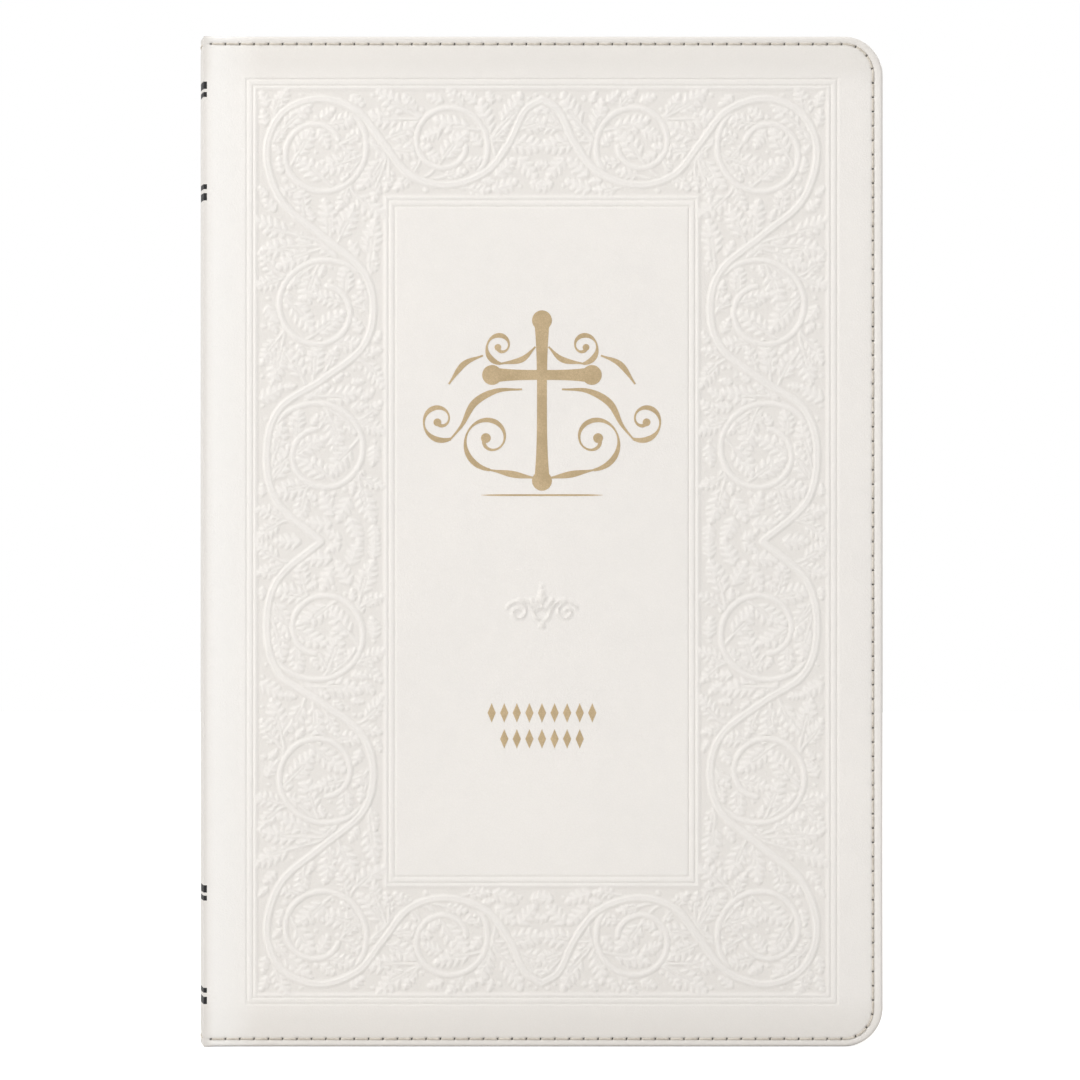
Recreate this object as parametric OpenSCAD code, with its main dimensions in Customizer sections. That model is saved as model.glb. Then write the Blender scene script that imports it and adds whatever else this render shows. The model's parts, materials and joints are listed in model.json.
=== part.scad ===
// Large flexible-cover bible, standing on its tail edge.
// +X runs from the spine to the fore edge, -Y is the front, +Z is the head.
// The origin is the centre of the bottom of the closed book.

/* [Cover] */
// Height of the covers, from tail to head
cover_h = 233; // [190:1:280]
// Width of a cover, from its hinge line to the fore edge
cover_w = 156.6; // [125:0.1:190]
// Radius of the covers' fore-edge corners
corner_r = 9; // [5:0.5:16]
// Thickness of the leather
leather_t = 0.9; // [0.7:0.05:1.3]
// Thickness of the boards in the covers
board_t = 1.3; // [0.8:0.1:2.5]
// Thickness of the linings pasted inside the covers
lining_t = 0.5; // [0.3:0.05:0.8]
// Width of the leather turned in around the boards
turn_in_w = 11; // [7:0.5:16]
// Distance that the covers stand out past the pages
square_w = 4; // [2:0.5:6]

/* [Spine] */
// Height of the spine's round above its two edges
spine_round = 2.2; // [1:0.1:4]
// Thickness of the card that stiffens the spine
spine_card_t = 0.6; // [0.4:0.1:1.2]
// Distance of the hinge lines outside the leather
hinge_out = 0.6; // [0.5:0.05:1]
// Gap between a hinge line and the cover's edge
hinge_gap = 2; // [1.9:0.1:4]

/* [Pages] */
// Thickness of each half of the text block
pages_t = 14.3; // [8:0.1:22]
// Number of sewn signatures in each half
signatures = 12; // [4:1:16]
// Radius of the pages' fore-edge corners
page_corner_r = 7; // [3:0.5:12]
// Thickness of a loose leaf
leaf_t = 0.2; // [0.15:0.05:0.3]
// Thickness of the mull cloth on the pages' backs
mull_t = 0.3; // [0.2:0.05:0.5]
// Height of the mull cloth, short of the head and tail
mull_end = 16; // [10:1:40]

/* [Bands and ribbon] */
// Diameter of the cord in a head or tail band
band_d = 1.5; // [1:0.1:2]
// Width of the ribbon marker
ribbon_w = 7; // [4:0.5:10]
// Thickness of the ribbon marker
ribbon_t = 0.25; // [0.15:0.05:0.35]
// Gap between the two halves of the text block, where the ribbon lies
ribbon_gap = 1; // [0.9:0.05:1.4]

/* [Stitching] */
// Distance of the stitches from the fore edge
stitch_side = 2.3; // [1.8:0.1:4]
// Distance of the stitches from the head and the tail
stitch_end = 1.8; // [1.6:0.1:4]
// Distance from one stitch to the next
stitch_pitch = 3.3; // [2.6:0.1:6]
// Diameter of the sewing thread
thread_d = 0.4; // [0.3:0.05:0.5]

/* [Ornament] */
// Distance of the outer frame from the fore edge
frame_side = 10.6; // [7:0.1:14]
// Distance of the outer frame from the hinge line
frame_spine = 9.9; // [7:0.1:14]
// Distance of the outer frame from the head and the tail
frame_end = 9.9; // [7:0.1:14]
// Width of the embossed border between the two frames, at the sides
border_side = 32.7; // [20:0.1:40]
// Width of the embossed border at the head and the tail
border_end = 27.9; // [20:0.1:45]
// Width of a frame line
line_w = 0.35; // [0.2:0.05:0.6]
// Distance between the two lines of a frame
line_gap = 1.45; // [1:0.05:2.5]
// Depth of the frame lines
line_depth = 0.25; // [0.1:0.05:0.4]
// Depth of the border's ground
ground_depth = 0.2; // [0.1:0.05:0.4]
// Thickness of the foil
foil_t = 0.06; // [0.04:0.01:0.1]
// Depth that the foil is pressed into the leather
foil_depth = 0.15; // [0.12:0.01:0.25]
// Height of the gold cross
cross_h = 37; // [25:0.5:45]
// Distance from the head to the middle of the gold cross
cross_from_head = 84; // [70:1:95]
// Length of the gold rule under the cross
rule_l = 28; // [18:0.5:40]
// Distance from the head to the gold rule
rule_from_head = 106; // [100:0.5:115]
// Distance from the head to the two rows of gold lozenges
rows_from_head = 159; // [140:1:170]

/* [Hidden] */

gap = 0.3;                     // running gap between bodies
eps = 0.01;                    // overrun of a cut
clear = 1;                     // overrun of a cutting or trimming outline
spine_shy = 0.6;               // how far the spine stops short of each cover's outer face
card_shy = 3;                  // how far the spine's card stops short of its leather
band_room = 0.05;              // extra room between the spine's card and the mull
fore_hollow = 1.8;             // hollow of the fore edge
border_land = 1.2;             // plain land between a frame line and the border's ground
leaf_start = 2.2;              // from the joint to the line on which the outer leaf turns
leaf_step = 1.2;               // from there to the line on which the next leaf turns
cover_t = leather_t + board_t + lining_t;
leaf_room = 2 * (gap + leaf_t) + gap;
half_t = ribbon_gap / 2 + pages_t + leaf_room + cover_t;
spine_out = spine_round - hinge_out;
hinge_x = -(cover_w - spine_out) / 2;
fore_x = hinge_x + cover_w;
pages_z0 = square_w;
pages_h = cover_h - 2 * square_w;

// Round of the spine: every layer's arc has the same centre
spine_half_y = half_t - spine_shy;
spine_r = (spine_half_y * spine_half_y + spine_round * spine_round) / (2 * spine_round);
arc_x = hinge_x - spine_out + spine_r;
card_r = spine_r - leather_t;
mull_r = card_r - spine_card_t - gap - band_room;
pages_r = mull_r - mull_t;
pages_fore_x = fore_x - square_w;
pages_y0 = ribbon_gap / 2;
pages_y1 = pages_y0 + pages_t;
back_mid_x = arc_x - pages_r;
fore_arc_x = pages_fore_x + pages_r - fore_hollow;
signature_gap = 0.04;
signature_t = pages_t / signatures;

// Leaves turn on lines just inside the joints
leaf_1_y = half_t - cover_t - gap;
leaf_2_y = leaf_1_y - leaf_t - gap;
leaf_1_x = hinge_x + hinge_gap + leaf_start;
leaf_2_x = leaf_1_x + leaf_step;

// Stitch line around a cover, as a path from the tail at the spine to the head at the spine
thread_side = 0.1;             // room beside and above a thread in its channel
stitch_share = 0.78;           // share of the pitch that a stitch shows
seam_start = 1;                // from the joint to the first stitch
groove_w = thread_d + 2 * thread_side;
groove_depth = thread_d + thread_side;
stitch_l = stitch_pitch * stitch_share;
seam_x0 = hinge_x + hinge_gap + seam_start;
seam_x1 = fore_x - stitch_side;
seam_z0 = stitch_end;
seam_z1 = cover_h - stitch_end;
seam_r = corner_r - stitch_end;
seam_run_x = seam_x1 - seam_r - seam_x0;
seam_run_z = seam_z1 - seam_z0 - 2 * seam_r;
seam_arc = PI / 2 * seam_r;
seam_l = 2 * seam_run_x + 2 * seam_arc + seam_run_z;
cover_stitch_count = floor(seam_l / stitch_pitch);
spine_seam_shy = 2;            // how far the spine's stitches stop short of its sides
spine_stitch_count = 2 * floor((spine_half_y - spine_seam_shy) / stitch_pitch) + 1;

// Point of the stitch line at a length s along it, as [x, z, heading in degrees]
function degrees_of(s) = s / seam_r * 180 / PI;
function seam_at(s) =
  s < seam_run_x ? [seam_x0 + s, seam_z0, 0]
  : s < seam_run_x + seam_arc ? seam_turn(degrees_of(s - seam_run_x), seam_z0 + seam_r)
  : s < seam_run_x + seam_arc + seam_run_z
    ? [seam_x1, seam_z0 + seam_r + s - seam_run_x - seam_arc, 90]
  : s < seam_l - seam_run_x
    ? seam_turn(90 + degrees_of(s - seam_run_x - seam_arc - seam_run_z), seam_z1 - seam_r)
  : [seam_x1 - seam_r - (s - seam_l + seam_run_x), seam_z1, 180];
function seam_turn(a, middle_z) =
  [seam_x1 - seam_r + seam_r * sin(a), middle_z - seam_r * cos(a), a];

// Heights of the spine's black bands: pairs of a thick and a thin one, thick ones outermost in the outer
// pairs and furthest in in the inner ones
thick_band = 1.7;
thin_band = 1.15;
outer_band = 9.9;              // from the head or the tail to the outer pair
band_step = 2.6;               // from the lower edge of a thick band to that of its thin one above it
band_step_down = 1.85;         // the same, with the thin one below it
inner_band = 25.7;             // from the outer pair to the inner one
head_lift = 0.6;               // the head's outer pair sits this much nearer its end than the tail's
top_mark = cover_h - outer_band - thick_band - head_lift;
band_pairs = [
  [top_mark, top_mark - band_step_down],
  [top_mark - inner_band, top_mark - inner_band + band_step],
  [outer_band + inner_band, outer_band + inner_band - band_step_down],
  [outer_band, outer_band + band_step]
];

leather_white = [0.93, 0.92, 0.9];
paper_white = [0.95, 0.94, 0.9];
gilt = [0.78, 0.66, 0.42];
thread_tan = [0.72, 0.68, 0.6];

$fn = 64;

// ---------- plane outlines, X across and Z up ----------

// Rectangle from x0 to x1 and z0 to z1 with its two fore-edge corners rounded
module fore_round(x0, x1, z0, z1, r) {
  translate([x0, z0]) square([x1 - x0 - r, z1 - z0]);
  translate([x0, z0 + r]) square([x1 - x0, z1 - z0 - 2 * r]);
  translate([x1 - r, z0 + r]) circle(r);
  translate([x1 - r, z1 - r]) circle(r);
}

corner_least = 0.5;            // least radius of an inner corner

module cover_outline(inset = 0) {
  x0 = hinge_x + hinge_gap + inset;
  fore_round(x0, fore_x - inset, inset, cover_h - inset, max(corner_r - inset, corner_least));
}

// Sharp rectangular line frame, set in by different distances from the cover's sides
module frame_line(from_spine, from_fore, from_end) {
  difference() {
    frame_fill(from_spine, from_fore, from_end);
    frame_fill(from_spine + line_w, from_fore + line_w, from_end + line_w);
  }
}

module frame_fill(from_spine, from_fore, from_end) {
  translate([hinge_x + from_spine, from_end])
    square([cover_w - from_spine - from_fore, cover_h - 2 * from_end]);
}

module double_frame(from_spine, from_fore, from_end) {
  frame_line(from_spine, from_fore, from_end);
  frame_line(from_spine + line_gap, from_fore + line_gap, from_end + line_gap);
}

module border_ground() {
  inner_gap = line_gap + border_land;
  difference() {
    frame_fill(frame_spine + inner_gap, frame_side + inner_gap, frame_end + inner_gap);
    frame_fill(frame_spine + border_side - border_land, frame_side + border_side - border_land,
               frame_end + border_end - border_land);
  }
}

// Slab that carries a plane outline from depth y to y + t
module slab(y, t) {
  translate([0, y + t, 0]) rotate([90, 0, 0]) linear_extrude(t) children();
}

// ---------- gold foil ornament: cross, scrolls, rule and two rows of lozenges ----------

panel_x = hinge_x + (frame_spine + cover_w - frame_side) / 2;

cross_bar = cross_h * 0.075;   // width of the cross's bars
cross_arm = cross_h * 0.31;    // reach of each arm
cross_arm_z = cross_h * 0.16;  // height of the arms above the cross's middle
bud_r = cross_bar * 0.85;      // round ends of the cross
scroll_w = 0.9;                // width of a scroll
rule_w = 0.4;
lozenge_step = 2.9;
lozenge_half = [0.95, 2.2];
lozenge_rows = [[9, 3], [7, -3]]; // number of lozenges in a row, and its height over the rows' middle

// Scrolls on one side of the cross, as shares of its height: across, up, radius
scrolls = [[0.324, -0.243, 0.19], [0.635, -0.122, 0.135], [0.257, 0.338, 0.108]];

module cross_outline() {
  square([cross_bar, cross_h], center = true);
  translate([0, cross_arm_z]) square([2 * cross_arm, cross_bar], center = true);
  for (p = [[0, cross_h / 2], [0, -cross_h / 2], [cross_arm, cross_arm_z], [-cross_arm, cross_arm_z]])
    translate(p) circle(bud_r);
}

// Open ring that reads as a scroll beside the cross
module scroll_outline(scroll_r) {
  difference() {
    circle(scroll_r);
    circle(scroll_r - scroll_w);
    translate([0, -scroll_r]) square(scroll_r);
  }
}

module lozenge_outline() {
  w = lozenge_half[0];
  h = lozenge_half[1];
  polygon([[0, -h], [w, 0], [0, h], [-w, 0]]);
}

module gold_outline() {
  translate([panel_x, cover_h - cross_from_head]) {
    cross_outline();
    for (side = [0, 1])
      mirror([side, 0])
        for (s = scrolls)
          translate([s[0] * cross_h, s[1] * cross_h]) scroll_outline(s[2] * cross_h);
  }
  translate([panel_x - rule_l / 2, cover_h - rule_from_head]) square([rule_l, rule_w]);
  for (row = lozenge_rows)
    for (i = [0 : row[0] - 1])
      translate([panel_x + (i - (row[0] - 1) / 2) * lozenge_step, cover_h - rows_from_head + row[1]])
        lozenge_outline();
}

// ---------- covers ----------

// Leather of one cover, in the front cover's place: a face with its edges turned in
module cover_leather(decorated) {
  face_y = -half_t;
  difference() {
    slab(face_y, cover_t) cover_outline();
    slab(face_y + leather_t, board_t) cover_outline(leather_t);
    slab(face_y + leather_t + board_t, lining_t + eps) cover_outline(turn_in_w);
    slab(face_y - eps, groove_depth + eps) seam_band();
    slab(face_y - eps, line_depth + eps) double_frame(frame_spine, frame_side, frame_end);
    if (decorated) {
      slab(face_y - eps, line_depth + eps)
        double_frame(frame_spine + border_side, frame_side + border_side, frame_end + border_end);
      slab(face_y - eps, ground_depth + eps) border_ground();
      slab(face_y - eps, foil_depth + eps) gold_outline();
    }
  }
}

// Channel that the stitches lie in
module seam_band() {
  half = groove_w / 2;
  difference() {
    fore_round(seam_x0 - half, seam_x1 + half, seam_z0 - half, seam_z1 + half, seam_r + half);
    fore_round(seam_x0 - 2 * half, seam_x1 - half, seam_z0 + half, seam_z1 - half, seam_r - half);
  }
}

module cover_board() {
  slab(-half_t + leather_t, board_t) cover_outline(leather_t);
}

module cover_lining() {
  slab(-half_t + leather_t + board_t, lining_t) cover_outline(turn_in_w);
}

// Stitches of one cover, lying in their channel
module cover_stitches() {
  for (i = [0 : cover_stitch_count - 1]) {
    at = seam_at((i + 0.5) * seam_l / cover_stitch_count);
    translate([at[0], -half_t + groove_depth - thread_d / 2, at[1]])
      rotate([0, 90 - at[2], 0])
        cylinder(h = stitch_l, d = thread_d, center = true, $fn = 16);
  }
}

// The same thing on the other side of the book
module other_side() {
  mirror([0, 1, 0]) children();
}

module front_leather() { color(leather_white) cover_leather(true); }
module front_board() { color("tan") cover_board(); }
module front_lining() { color(paper_white) cover_lining(); }
module front_stitching() { color(thread_tan) cover_stitches(); }
module front_gold_foil() {
  color(gilt) slab(-half_t + foil_depth - foil_t, foil_t) gold_outline();
}
module back_leather() { color(leather_white) other_side() cover_leather(false); }
module back_board() { color("tan") other_side() cover_board(); }
module back_lining() { color(paper_white) other_side() cover_lining(); }
module back_stitching() { color(thread_tan) other_side() cover_stitches(); }

// ---------- spine ----------

arc_depth = 6;                 // room in depth, past the round, that an arc is trimmed in

// Plane arc of the spine between two radii, seen from above, reaching y to each side
module spine_arc(r_out, r_in, y) {
  intersection() {
    translate([arc_x, 0]) difference() {
      circle(r_out, $fn = 256);
      circle(r_in, $fn = 256);
    }
    translate([arc_x - r_out - clear, -y]) square([spine_round + arc_depth, 2 * y]);
  }
}

module spine_leather() {
  color(leather_white) difference() {
    linear_extrude(cover_h) spine_arc(spine_r, card_r, spine_half_y);
    for (z = [seam_z0, seam_z1])
      translate([0, 0, z - groove_w / 2])
        linear_extrude(groove_w)
          spine_arc(spine_r + clear, spine_r - groove_depth, spine_half_y + clear);
    for (pair = band_pairs) {
      band_ring(pair[0], thick_band);
      band_ring(pair[1], thin_band);
    }
  }
}

// Room of a pressed band of height h at a height z
module band_ring(z, h) {
  translate([0, 0, z]) linear_extrude(h)
    spine_arc(spine_r + clear, spine_r - foil_depth, spine_half_y + clear);
}

module spine_card() {
  color("tan") translate([0, 0, square_w])
    linear_extrude(cover_h - 2 * square_w)
      spine_arc(card_r, card_r - spine_card_t, spine_half_y - card_shy);
}

module spine_black_foil() {
  color([0.06, 0.06, 0.06])
    for (pair = band_pairs)
      for (part = [[pair[0], thick_band], [pair[1], thin_band]])
        translate([0, 0, part[0]]) linear_extrude(part[1])
          spine_arc(spine_r - foil_depth + foil_t, spine_r - foil_depth, spine_half_y);
}

chord_room = 0.03;             // how far a straight stitch stands off the round bottom of its channel

module spine_stitching() {
  turn = stitch_pitch / spine_r * 180 / PI;
  thread_r = spine_r - groove_depth + thread_d / 2 + chord_room;
  color(thread_tan)
    for (z = [seam_z0, seam_z1])
      for (i = [0 : spine_stitch_count - 1])
        translate([arc_x, 0, z])
          rotate([0, 0, (i - (spine_stitch_count - 1) / 2) * turn])
            translate([-thread_r, 0, 0])
              rotate([90, 0, 0])
                cylinder(h = stitch_l, d = thread_d, center = true, $fn = 16);
}

// ---------- text block, each part drawn for the rear half and mirrored for the front ----------

// Plan of a slice of the pages from y0 to y1: round at the back, hollow at the fore edge
module pages_plan(y0, y1) {
  intersection() {
    round_back();
    difference() {
      translate([back_mid_x - clear, y0]) square([pages_fore_x - back_mid_x + clear, y1 - y0]);
      translate([fore_arc_x, 0]) mirror([1, 0]) circle(pages_r, $fn = 256);
    }
  }
}

// Everything in front of the round back
module round_back() {
  translate([arc_x, 0]) circle(pages_r, $fn = 256);
  translate([arc_x, -pages_r]) square([2 * pages_r, 2 * pages_r]);
}

// Upright outline of the pages, with rounded fore-edge corners
module pages_outline() {
  fore_round(back_mid_x - clear, pages_fore_x, pages_z0, pages_z0 + pages_h, page_corner_r);
}

module signature_stack() {
  for (i = [0 : signatures - 1]) {
    y0 = pages_y0 + i * signature_t;
    intersection() {
      translate([0, 0, pages_z0]) linear_extrude(pages_h)
        pages_plan(y0, y0 + signature_t - signature_gap);
      slab(y0 - eps, signature_t + 2 * eps) pages_outline();
    }
  }
}

// Layer on the round back of one half, between two radii and two heights
module back_layer(r_out, r_in, z0, h) {
  translate([0, 0, z0]) linear_extrude(h) intersection() {
    spine_arc(r_out, r_in, pages_y1);
    translate([arc_x - r_out - clear, pages_y0]) square([spine_round + arc_depth, pages_t - signature_gap]);
  }
}

module half_mull() {
  back_layer(mull_r, pages_r, pages_z0 + mull_end, pages_h - 2 * mull_end);
}

// Kettle stitches and tapes: short threads down each signature's fold, under the mull's ends
kettle_l = 5;                  // length of a kettle stitch
kettle_from_end = 7;           // from the pages' head or tail to a kettle stitch
kettle_d = 0.2;
kettle_off = 0.12;             // from the fold to the middle of a kettle stitch

module half_sewing() {
  for (i = [0 : signatures - 1])
    for (s = [0, 1]) {
      y = pages_y0 + (i + 0.5) * signature_t - signature_gap / 2;
      x = arc_x - sqrt(pow(pages_r, 2) - pow(y, 2)) - kettle_off;
      z = s == 0 ? pages_z0 + kettle_from_end : pages_z0 + pages_h - kettle_from_end - kettle_l;
      translate([x, y, z]) cylinder(h = kettle_l, d = kettle_d, $fn = 16);
    }
}

// Round cord of a head or tail band, glued on the back at one end
module half_band(z) {
  y0 = pages_y0;
  y1 = pages_y1 - signature_gap;
  r = (pages_r + mull_r) / 2;
  a0 = asin(y0 / r);
  a1 = asin(y1 / r);
  translate([arc_x, 0, z]) rotate([0, 0, 180 - a1]) rotate_extrude(angle = a1 - a0, $fn = 256)
    translate([r, 0]) circle(d = band_d, $fn = 24);
}

module head_band() { half_band(pages_z0 + pages_h + band_d / 2); }
module tail_band() { half_band(pages_z0 - band_d / 2); }

module rear_signatures() { color(paper_white) signature_stack(); }
module rear_mull() { color("white") half_mull(); }
module rear_sewing() { color("ivory") half_sewing(); }
module rear_headband() { color("gold") head_band(); }
module rear_tailband() { color("gold") tail_band(); }
module front_signatures() { color(paper_white) other_side() signature_stack(); }
module front_mull() { color("white") other_side() half_mull(); }
module front_sewing() { color("ivory") other_side() half_sewing(); }
module front_headband() { color("gold") other_side() head_band(); }
module front_tailband() { color("gold") other_side() tail_band(); }

// ---------- leaves and ribbon ----------

// Loose leaf from x to the fore edge, with its outer face at a distance y from the middle
module leaf(x, y) {
  slab(y - leaf_t, leaf_t)
    fore_round(x, pages_fore_x, pages_z0, pages_z0 + pages_h, page_corner_r);
}

module front_flyleaf() { color(paper_white) other_side() leaf(leaf_1_x, leaf_1_y); }
module presentation_leaf() { color(paper_white) other_side() leaf(leaf_2_x, leaf_2_y); }
module back_flyleaf() { color(paper_white) leaf(leaf_1_x, leaf_1_y); }
module map_leaf() { color(paper_white) leaf(leaf_2_x, leaf_2_y); }

// Ribbon from its anchor at the head, hanging between the halves to just above the tail
ribbon_from_hinge = 36;
ribbon_below_head = 3;
ribbon_bottom = 2.5;
ribbon_x = hinge_x + ribbon_from_hinge;
ribbon_top = cover_h - square_w - ribbon_below_head;
module ribbon_marker() {
  color(gilt) translate([ribbon_x - ribbon_w / 2, -ribbon_t / 2, ribbon_bottom])
    cube([ribbon_w, ribbon_t, ribbon_top - ribbon_bottom]);
}

front_leather();
front_board();
front_lining();
front_stitching();
front_gold_foil();
back_leather();
back_board();
back_lining();
back_stitching();
spine_leather();
spine_card();
spine_black_foil();
spine_stitching();
front_signatures();
front_mull();
front_sewing();
front_headband();
front_tailband();
rear_signatures();
rear_mull();
rear_sewing();
rear_headband();
rear_tailband();
front_flyleaf();
presentation_leaf();
back_flyleaf();
map_leaf();
ribbon_marker();
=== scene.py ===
"""Looks of a large flexible-cover bible, standing on its tail edge and seen from the front.

Lengths in this script are millimetres, in the frame of the solids: X from spine to fore edge, -Y out of the
front cover, Z up to the head. solid() turns them into metres.
A place on a cover is (across, depth, up): across from the hinge line, depth in from the cover's outer face.
"""
import json
import math

import bmesh
import bpy
import numpy as np
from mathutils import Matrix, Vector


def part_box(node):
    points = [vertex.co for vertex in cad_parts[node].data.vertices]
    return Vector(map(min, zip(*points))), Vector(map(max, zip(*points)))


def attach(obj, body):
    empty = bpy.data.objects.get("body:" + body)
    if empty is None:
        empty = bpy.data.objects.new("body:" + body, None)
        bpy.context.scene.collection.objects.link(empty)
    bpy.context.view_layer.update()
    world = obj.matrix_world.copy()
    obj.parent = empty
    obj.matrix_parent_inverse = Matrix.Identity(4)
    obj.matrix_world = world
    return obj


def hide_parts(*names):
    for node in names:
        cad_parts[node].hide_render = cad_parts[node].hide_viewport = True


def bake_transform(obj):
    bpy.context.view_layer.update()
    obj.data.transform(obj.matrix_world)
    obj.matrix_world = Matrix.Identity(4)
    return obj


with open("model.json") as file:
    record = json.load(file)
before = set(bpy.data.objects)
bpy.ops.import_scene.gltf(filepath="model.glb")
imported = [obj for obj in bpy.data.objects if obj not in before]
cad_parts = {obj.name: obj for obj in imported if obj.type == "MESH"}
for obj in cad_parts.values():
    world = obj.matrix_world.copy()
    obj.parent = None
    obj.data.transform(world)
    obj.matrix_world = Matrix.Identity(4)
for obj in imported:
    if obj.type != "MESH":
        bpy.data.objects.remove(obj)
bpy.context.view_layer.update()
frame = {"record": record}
MM = 0.001

# ---------------------------------------------------------------- sizes, all from the frame

JOINTS = {j["name"]: j for j in frame["record"]["behaviour"]["joints"]}


def low_high(node):
    """Lowest and highest corner of a solid, in millimetres."""
    return [np.array(corner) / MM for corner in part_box(node)]


HINGE_X, HINGE_Y = (v / MM for v in JOINTS["back_cover_hinge"]["pos_m"][:2])
LEATHER_LOW, LEATHER_HIGH = low_high("back_leather")
FORE_X = LEATHER_HIGH[0]
COVER_W = FORE_X - HINGE_X
COVER_H = LEATHER_HIGH[2]
HALF_T = LEATHER_HIGH[1]
COVER_T = HALF_T - LEATHER_LOW[1]
HINGE_OUT = HINGE_Y - HALF_T
BOARD_HIGH = low_high("back_board")[1]
LINING_LOW, LINING_HIGH = low_high("back_lining")
LEATHER_T = HALF_T - BOARD_HIGH[1]
LINING_T = LINING_HIGH[1] - LINING_LOW[1]
TURN_IN = FORE_X - LINING_HIGH[0]
LINING_X = LINING_LOW[0] - HINGE_X
SPINE_OUT = HINGE_X - low_high("spine_leather")[0][0]
# The spine's black bands: height of the lower edge, and width
BANDS = [(220.8, 1.7), (218.95, 1.15), (195.1, 1.7), (197.7, 1.15), (35.6, 1.7), (33.75, 1.15), (9.9, 1.7),
         (12.5, 1.15)]
FOIL_RUN_ON = 0.75         # how far the bands run on past the hinge lines
PAGES_LOW, PAGES_HIGH = low_high("rear_signatures")

CORNER_R = 9.0
STITCH_SIDE, STITCH_END = 2.3, 1.8
STITCH_PITCH = 3.3
THREAD_R = 0.2
EDGE_THIN = 0.35           # thickness of the leather at a hinge line
JOINT_W = 2.8              # width over which a cover thins towards its hinge line
SHOULDER_W = 9.0           # width over which its outer face rises to that line

# Embossed frame on the front cover
FRAME_SPINE, FRAME_SIDE, FRAME_END = 9.9, 10.6, 9.9
BORDER_SIDE, BORDER_END = 32.7, 27.9
LINE_GAP = 1.45
FRAME_W = COVER_W - FRAME_SPINE - FRAME_SIDE
FRAME_H = COVER_H - 2 * FRAME_END
MID_X = FRAME_SPINE + FRAME_W / 2
MID_Z = COVER_H / 2
GROUND_DEPTH = 0.22
RELIEF = 1.02              # height of the carving, as a share of its drawing
LINE_DEPTH = 0.17


# ---------------------------------------------------------------- small tools

def smooth(t):
    """Smooth step: 0 up to t = 0, 1 from t = 1, with level ends."""
    t = np.clip(t, 0.0, 1.0)
    return t * t * (3 - 2 * t)


def quads(rows, columns, closed=False):
    """Faces of a grid of points numbered row by row, as an array of four indices each. A closed grid's last
    column joins its first."""
    i, j = np.meshgrid(np.arange(rows - 1), np.arange(columns if closed else columns - 1), indexing="ij")
    near, far = i * columns, (i + 1) * columns
    next_j = (j + 1) % columns
    return np.stack([near + j, far + j, far + next_j, near + next_j], axis=-1).reshape(-1, 4)


def end_rings(rows, columns, first=0):
    """The first and last row of a closed grid whose points are numbered from first, as faces that look out
    at both ends."""
    return [range(first, first + columns), range(first + (rows - 1) * columns, first + rows * columns)[::-1]]


def solid(name, points, faces, material, body=None, replaces=(), flip=False, caps=(),
          merge=False, attributes=None, material_of_face=None, more_materials=(), bend=None, sharp=52.0):
    """Makes an object of points in millimetres and faces, puts it under its body's empty and hides the CAD
    nodes it replaces. A given bend only bakes the piece's placement into its points."""
    points = np.asarray(points, float).reshape(-1, 3)
    faces = [list(f) for f in np.asarray(faces).tolist()] + [list(c) for c in caps]
    if flip:
        faces = [f[::-1] for f in faces]
    mesh = bpy.data.meshes.new(name)
    mesh.from_pydata((points * MM).tolist(), [], faces)
    for key, values in (attributes or {}).items():
        kind = "FLOAT" if np.ndim(values) == 1 else "FLOAT_VECTOR"
        layer = mesh.attributes.new(key, kind, "POINT")
        layer.data.foreach_set("value" if kind == "FLOAT" else "vector",
                               np.asarray(values, np.float32).ravel())
    for m in (material, *more_materials):
        mesh.materials.append(m)
    if material_of_face is not None:
        padded = np.zeros(len(mesh.polygons), np.int32)
        padded[: len(material_of_face)] = material_of_face
        mesh.polygons.foreach_set("material_index", padded)
    if merge:
        work = bmesh.new()
        work.from_mesh(mesh)
        bmesh.ops.remove_doubles(work, verts=work.verts, dist=2e-6)
        bmesh.ops.dissolve_degenerate(work, edges=work.edges, dist=1e-6)
        work.to_mesh(mesh)
        work.free()
    mesh.polygons.foreach_set("use_smooth", np.ones(len(mesh.polygons), bool))
    mesh.set_sharp_from_angle(angle=math.radians(sharp))
    mesh.update()
    piece = bpy.data.objects.new(name, mesh)
    bpy.context.scene.collection.objects.link(piece)
    if body:
        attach(piece, body)
    if bend:
        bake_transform(piece)
    if replaces:
        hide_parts(*replaces)
    return piece


def join(parts):
    """Several (points, faces) sets as one."""
    starts = np.cumsum([0] + [len(points) for points, _ in parts[:-1]])
    return np.vstack([p for p, _ in parts]), np.vstack([f + k for (_, f), k in zip(parts, starts)])


THROUGH = np.array([0.0, 1.0])             # shares of a thickness with no rows between its faces


def boxed(place, s, v, w):
    """Closed block in six grids. place() gives points for shares s, v and w of three directions; the grids'
    shared rims are merged later. Also gives, for each face, which grid it is on: 0 and 1 for the first and
    last v, 2 and 3 for s, 4 and 5 for w."""
    sets, sides = [], []
    for k, (fixed, a, b, flip) in enumerate([("v", s, w, 0), ("v", s, w, 1), ("s", w, v, 0), ("s", w, v, 1),
                                             ("w", v, s, 0), ("w", v, s, 1)]):
        p, q = np.meshgrid(a, b, indexing="ij")
        end = {"v": v, "s": s, "w": w}[fixed][-1 if flip else 0] + 0 * p
        points = place(*{"v": (p, end, q), "s": (end, q, p), "w": (q, p, end)}[fixed]).reshape(-1, 3)
        faces = quads(len(a), len(b))
        sets.append((points, faces[:, ::-1] if flip else faces))
        sides.append(np.full(len(faces), k))
    points, faces = join(sets)
    return points, faces, np.concatenate(sides)


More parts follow.
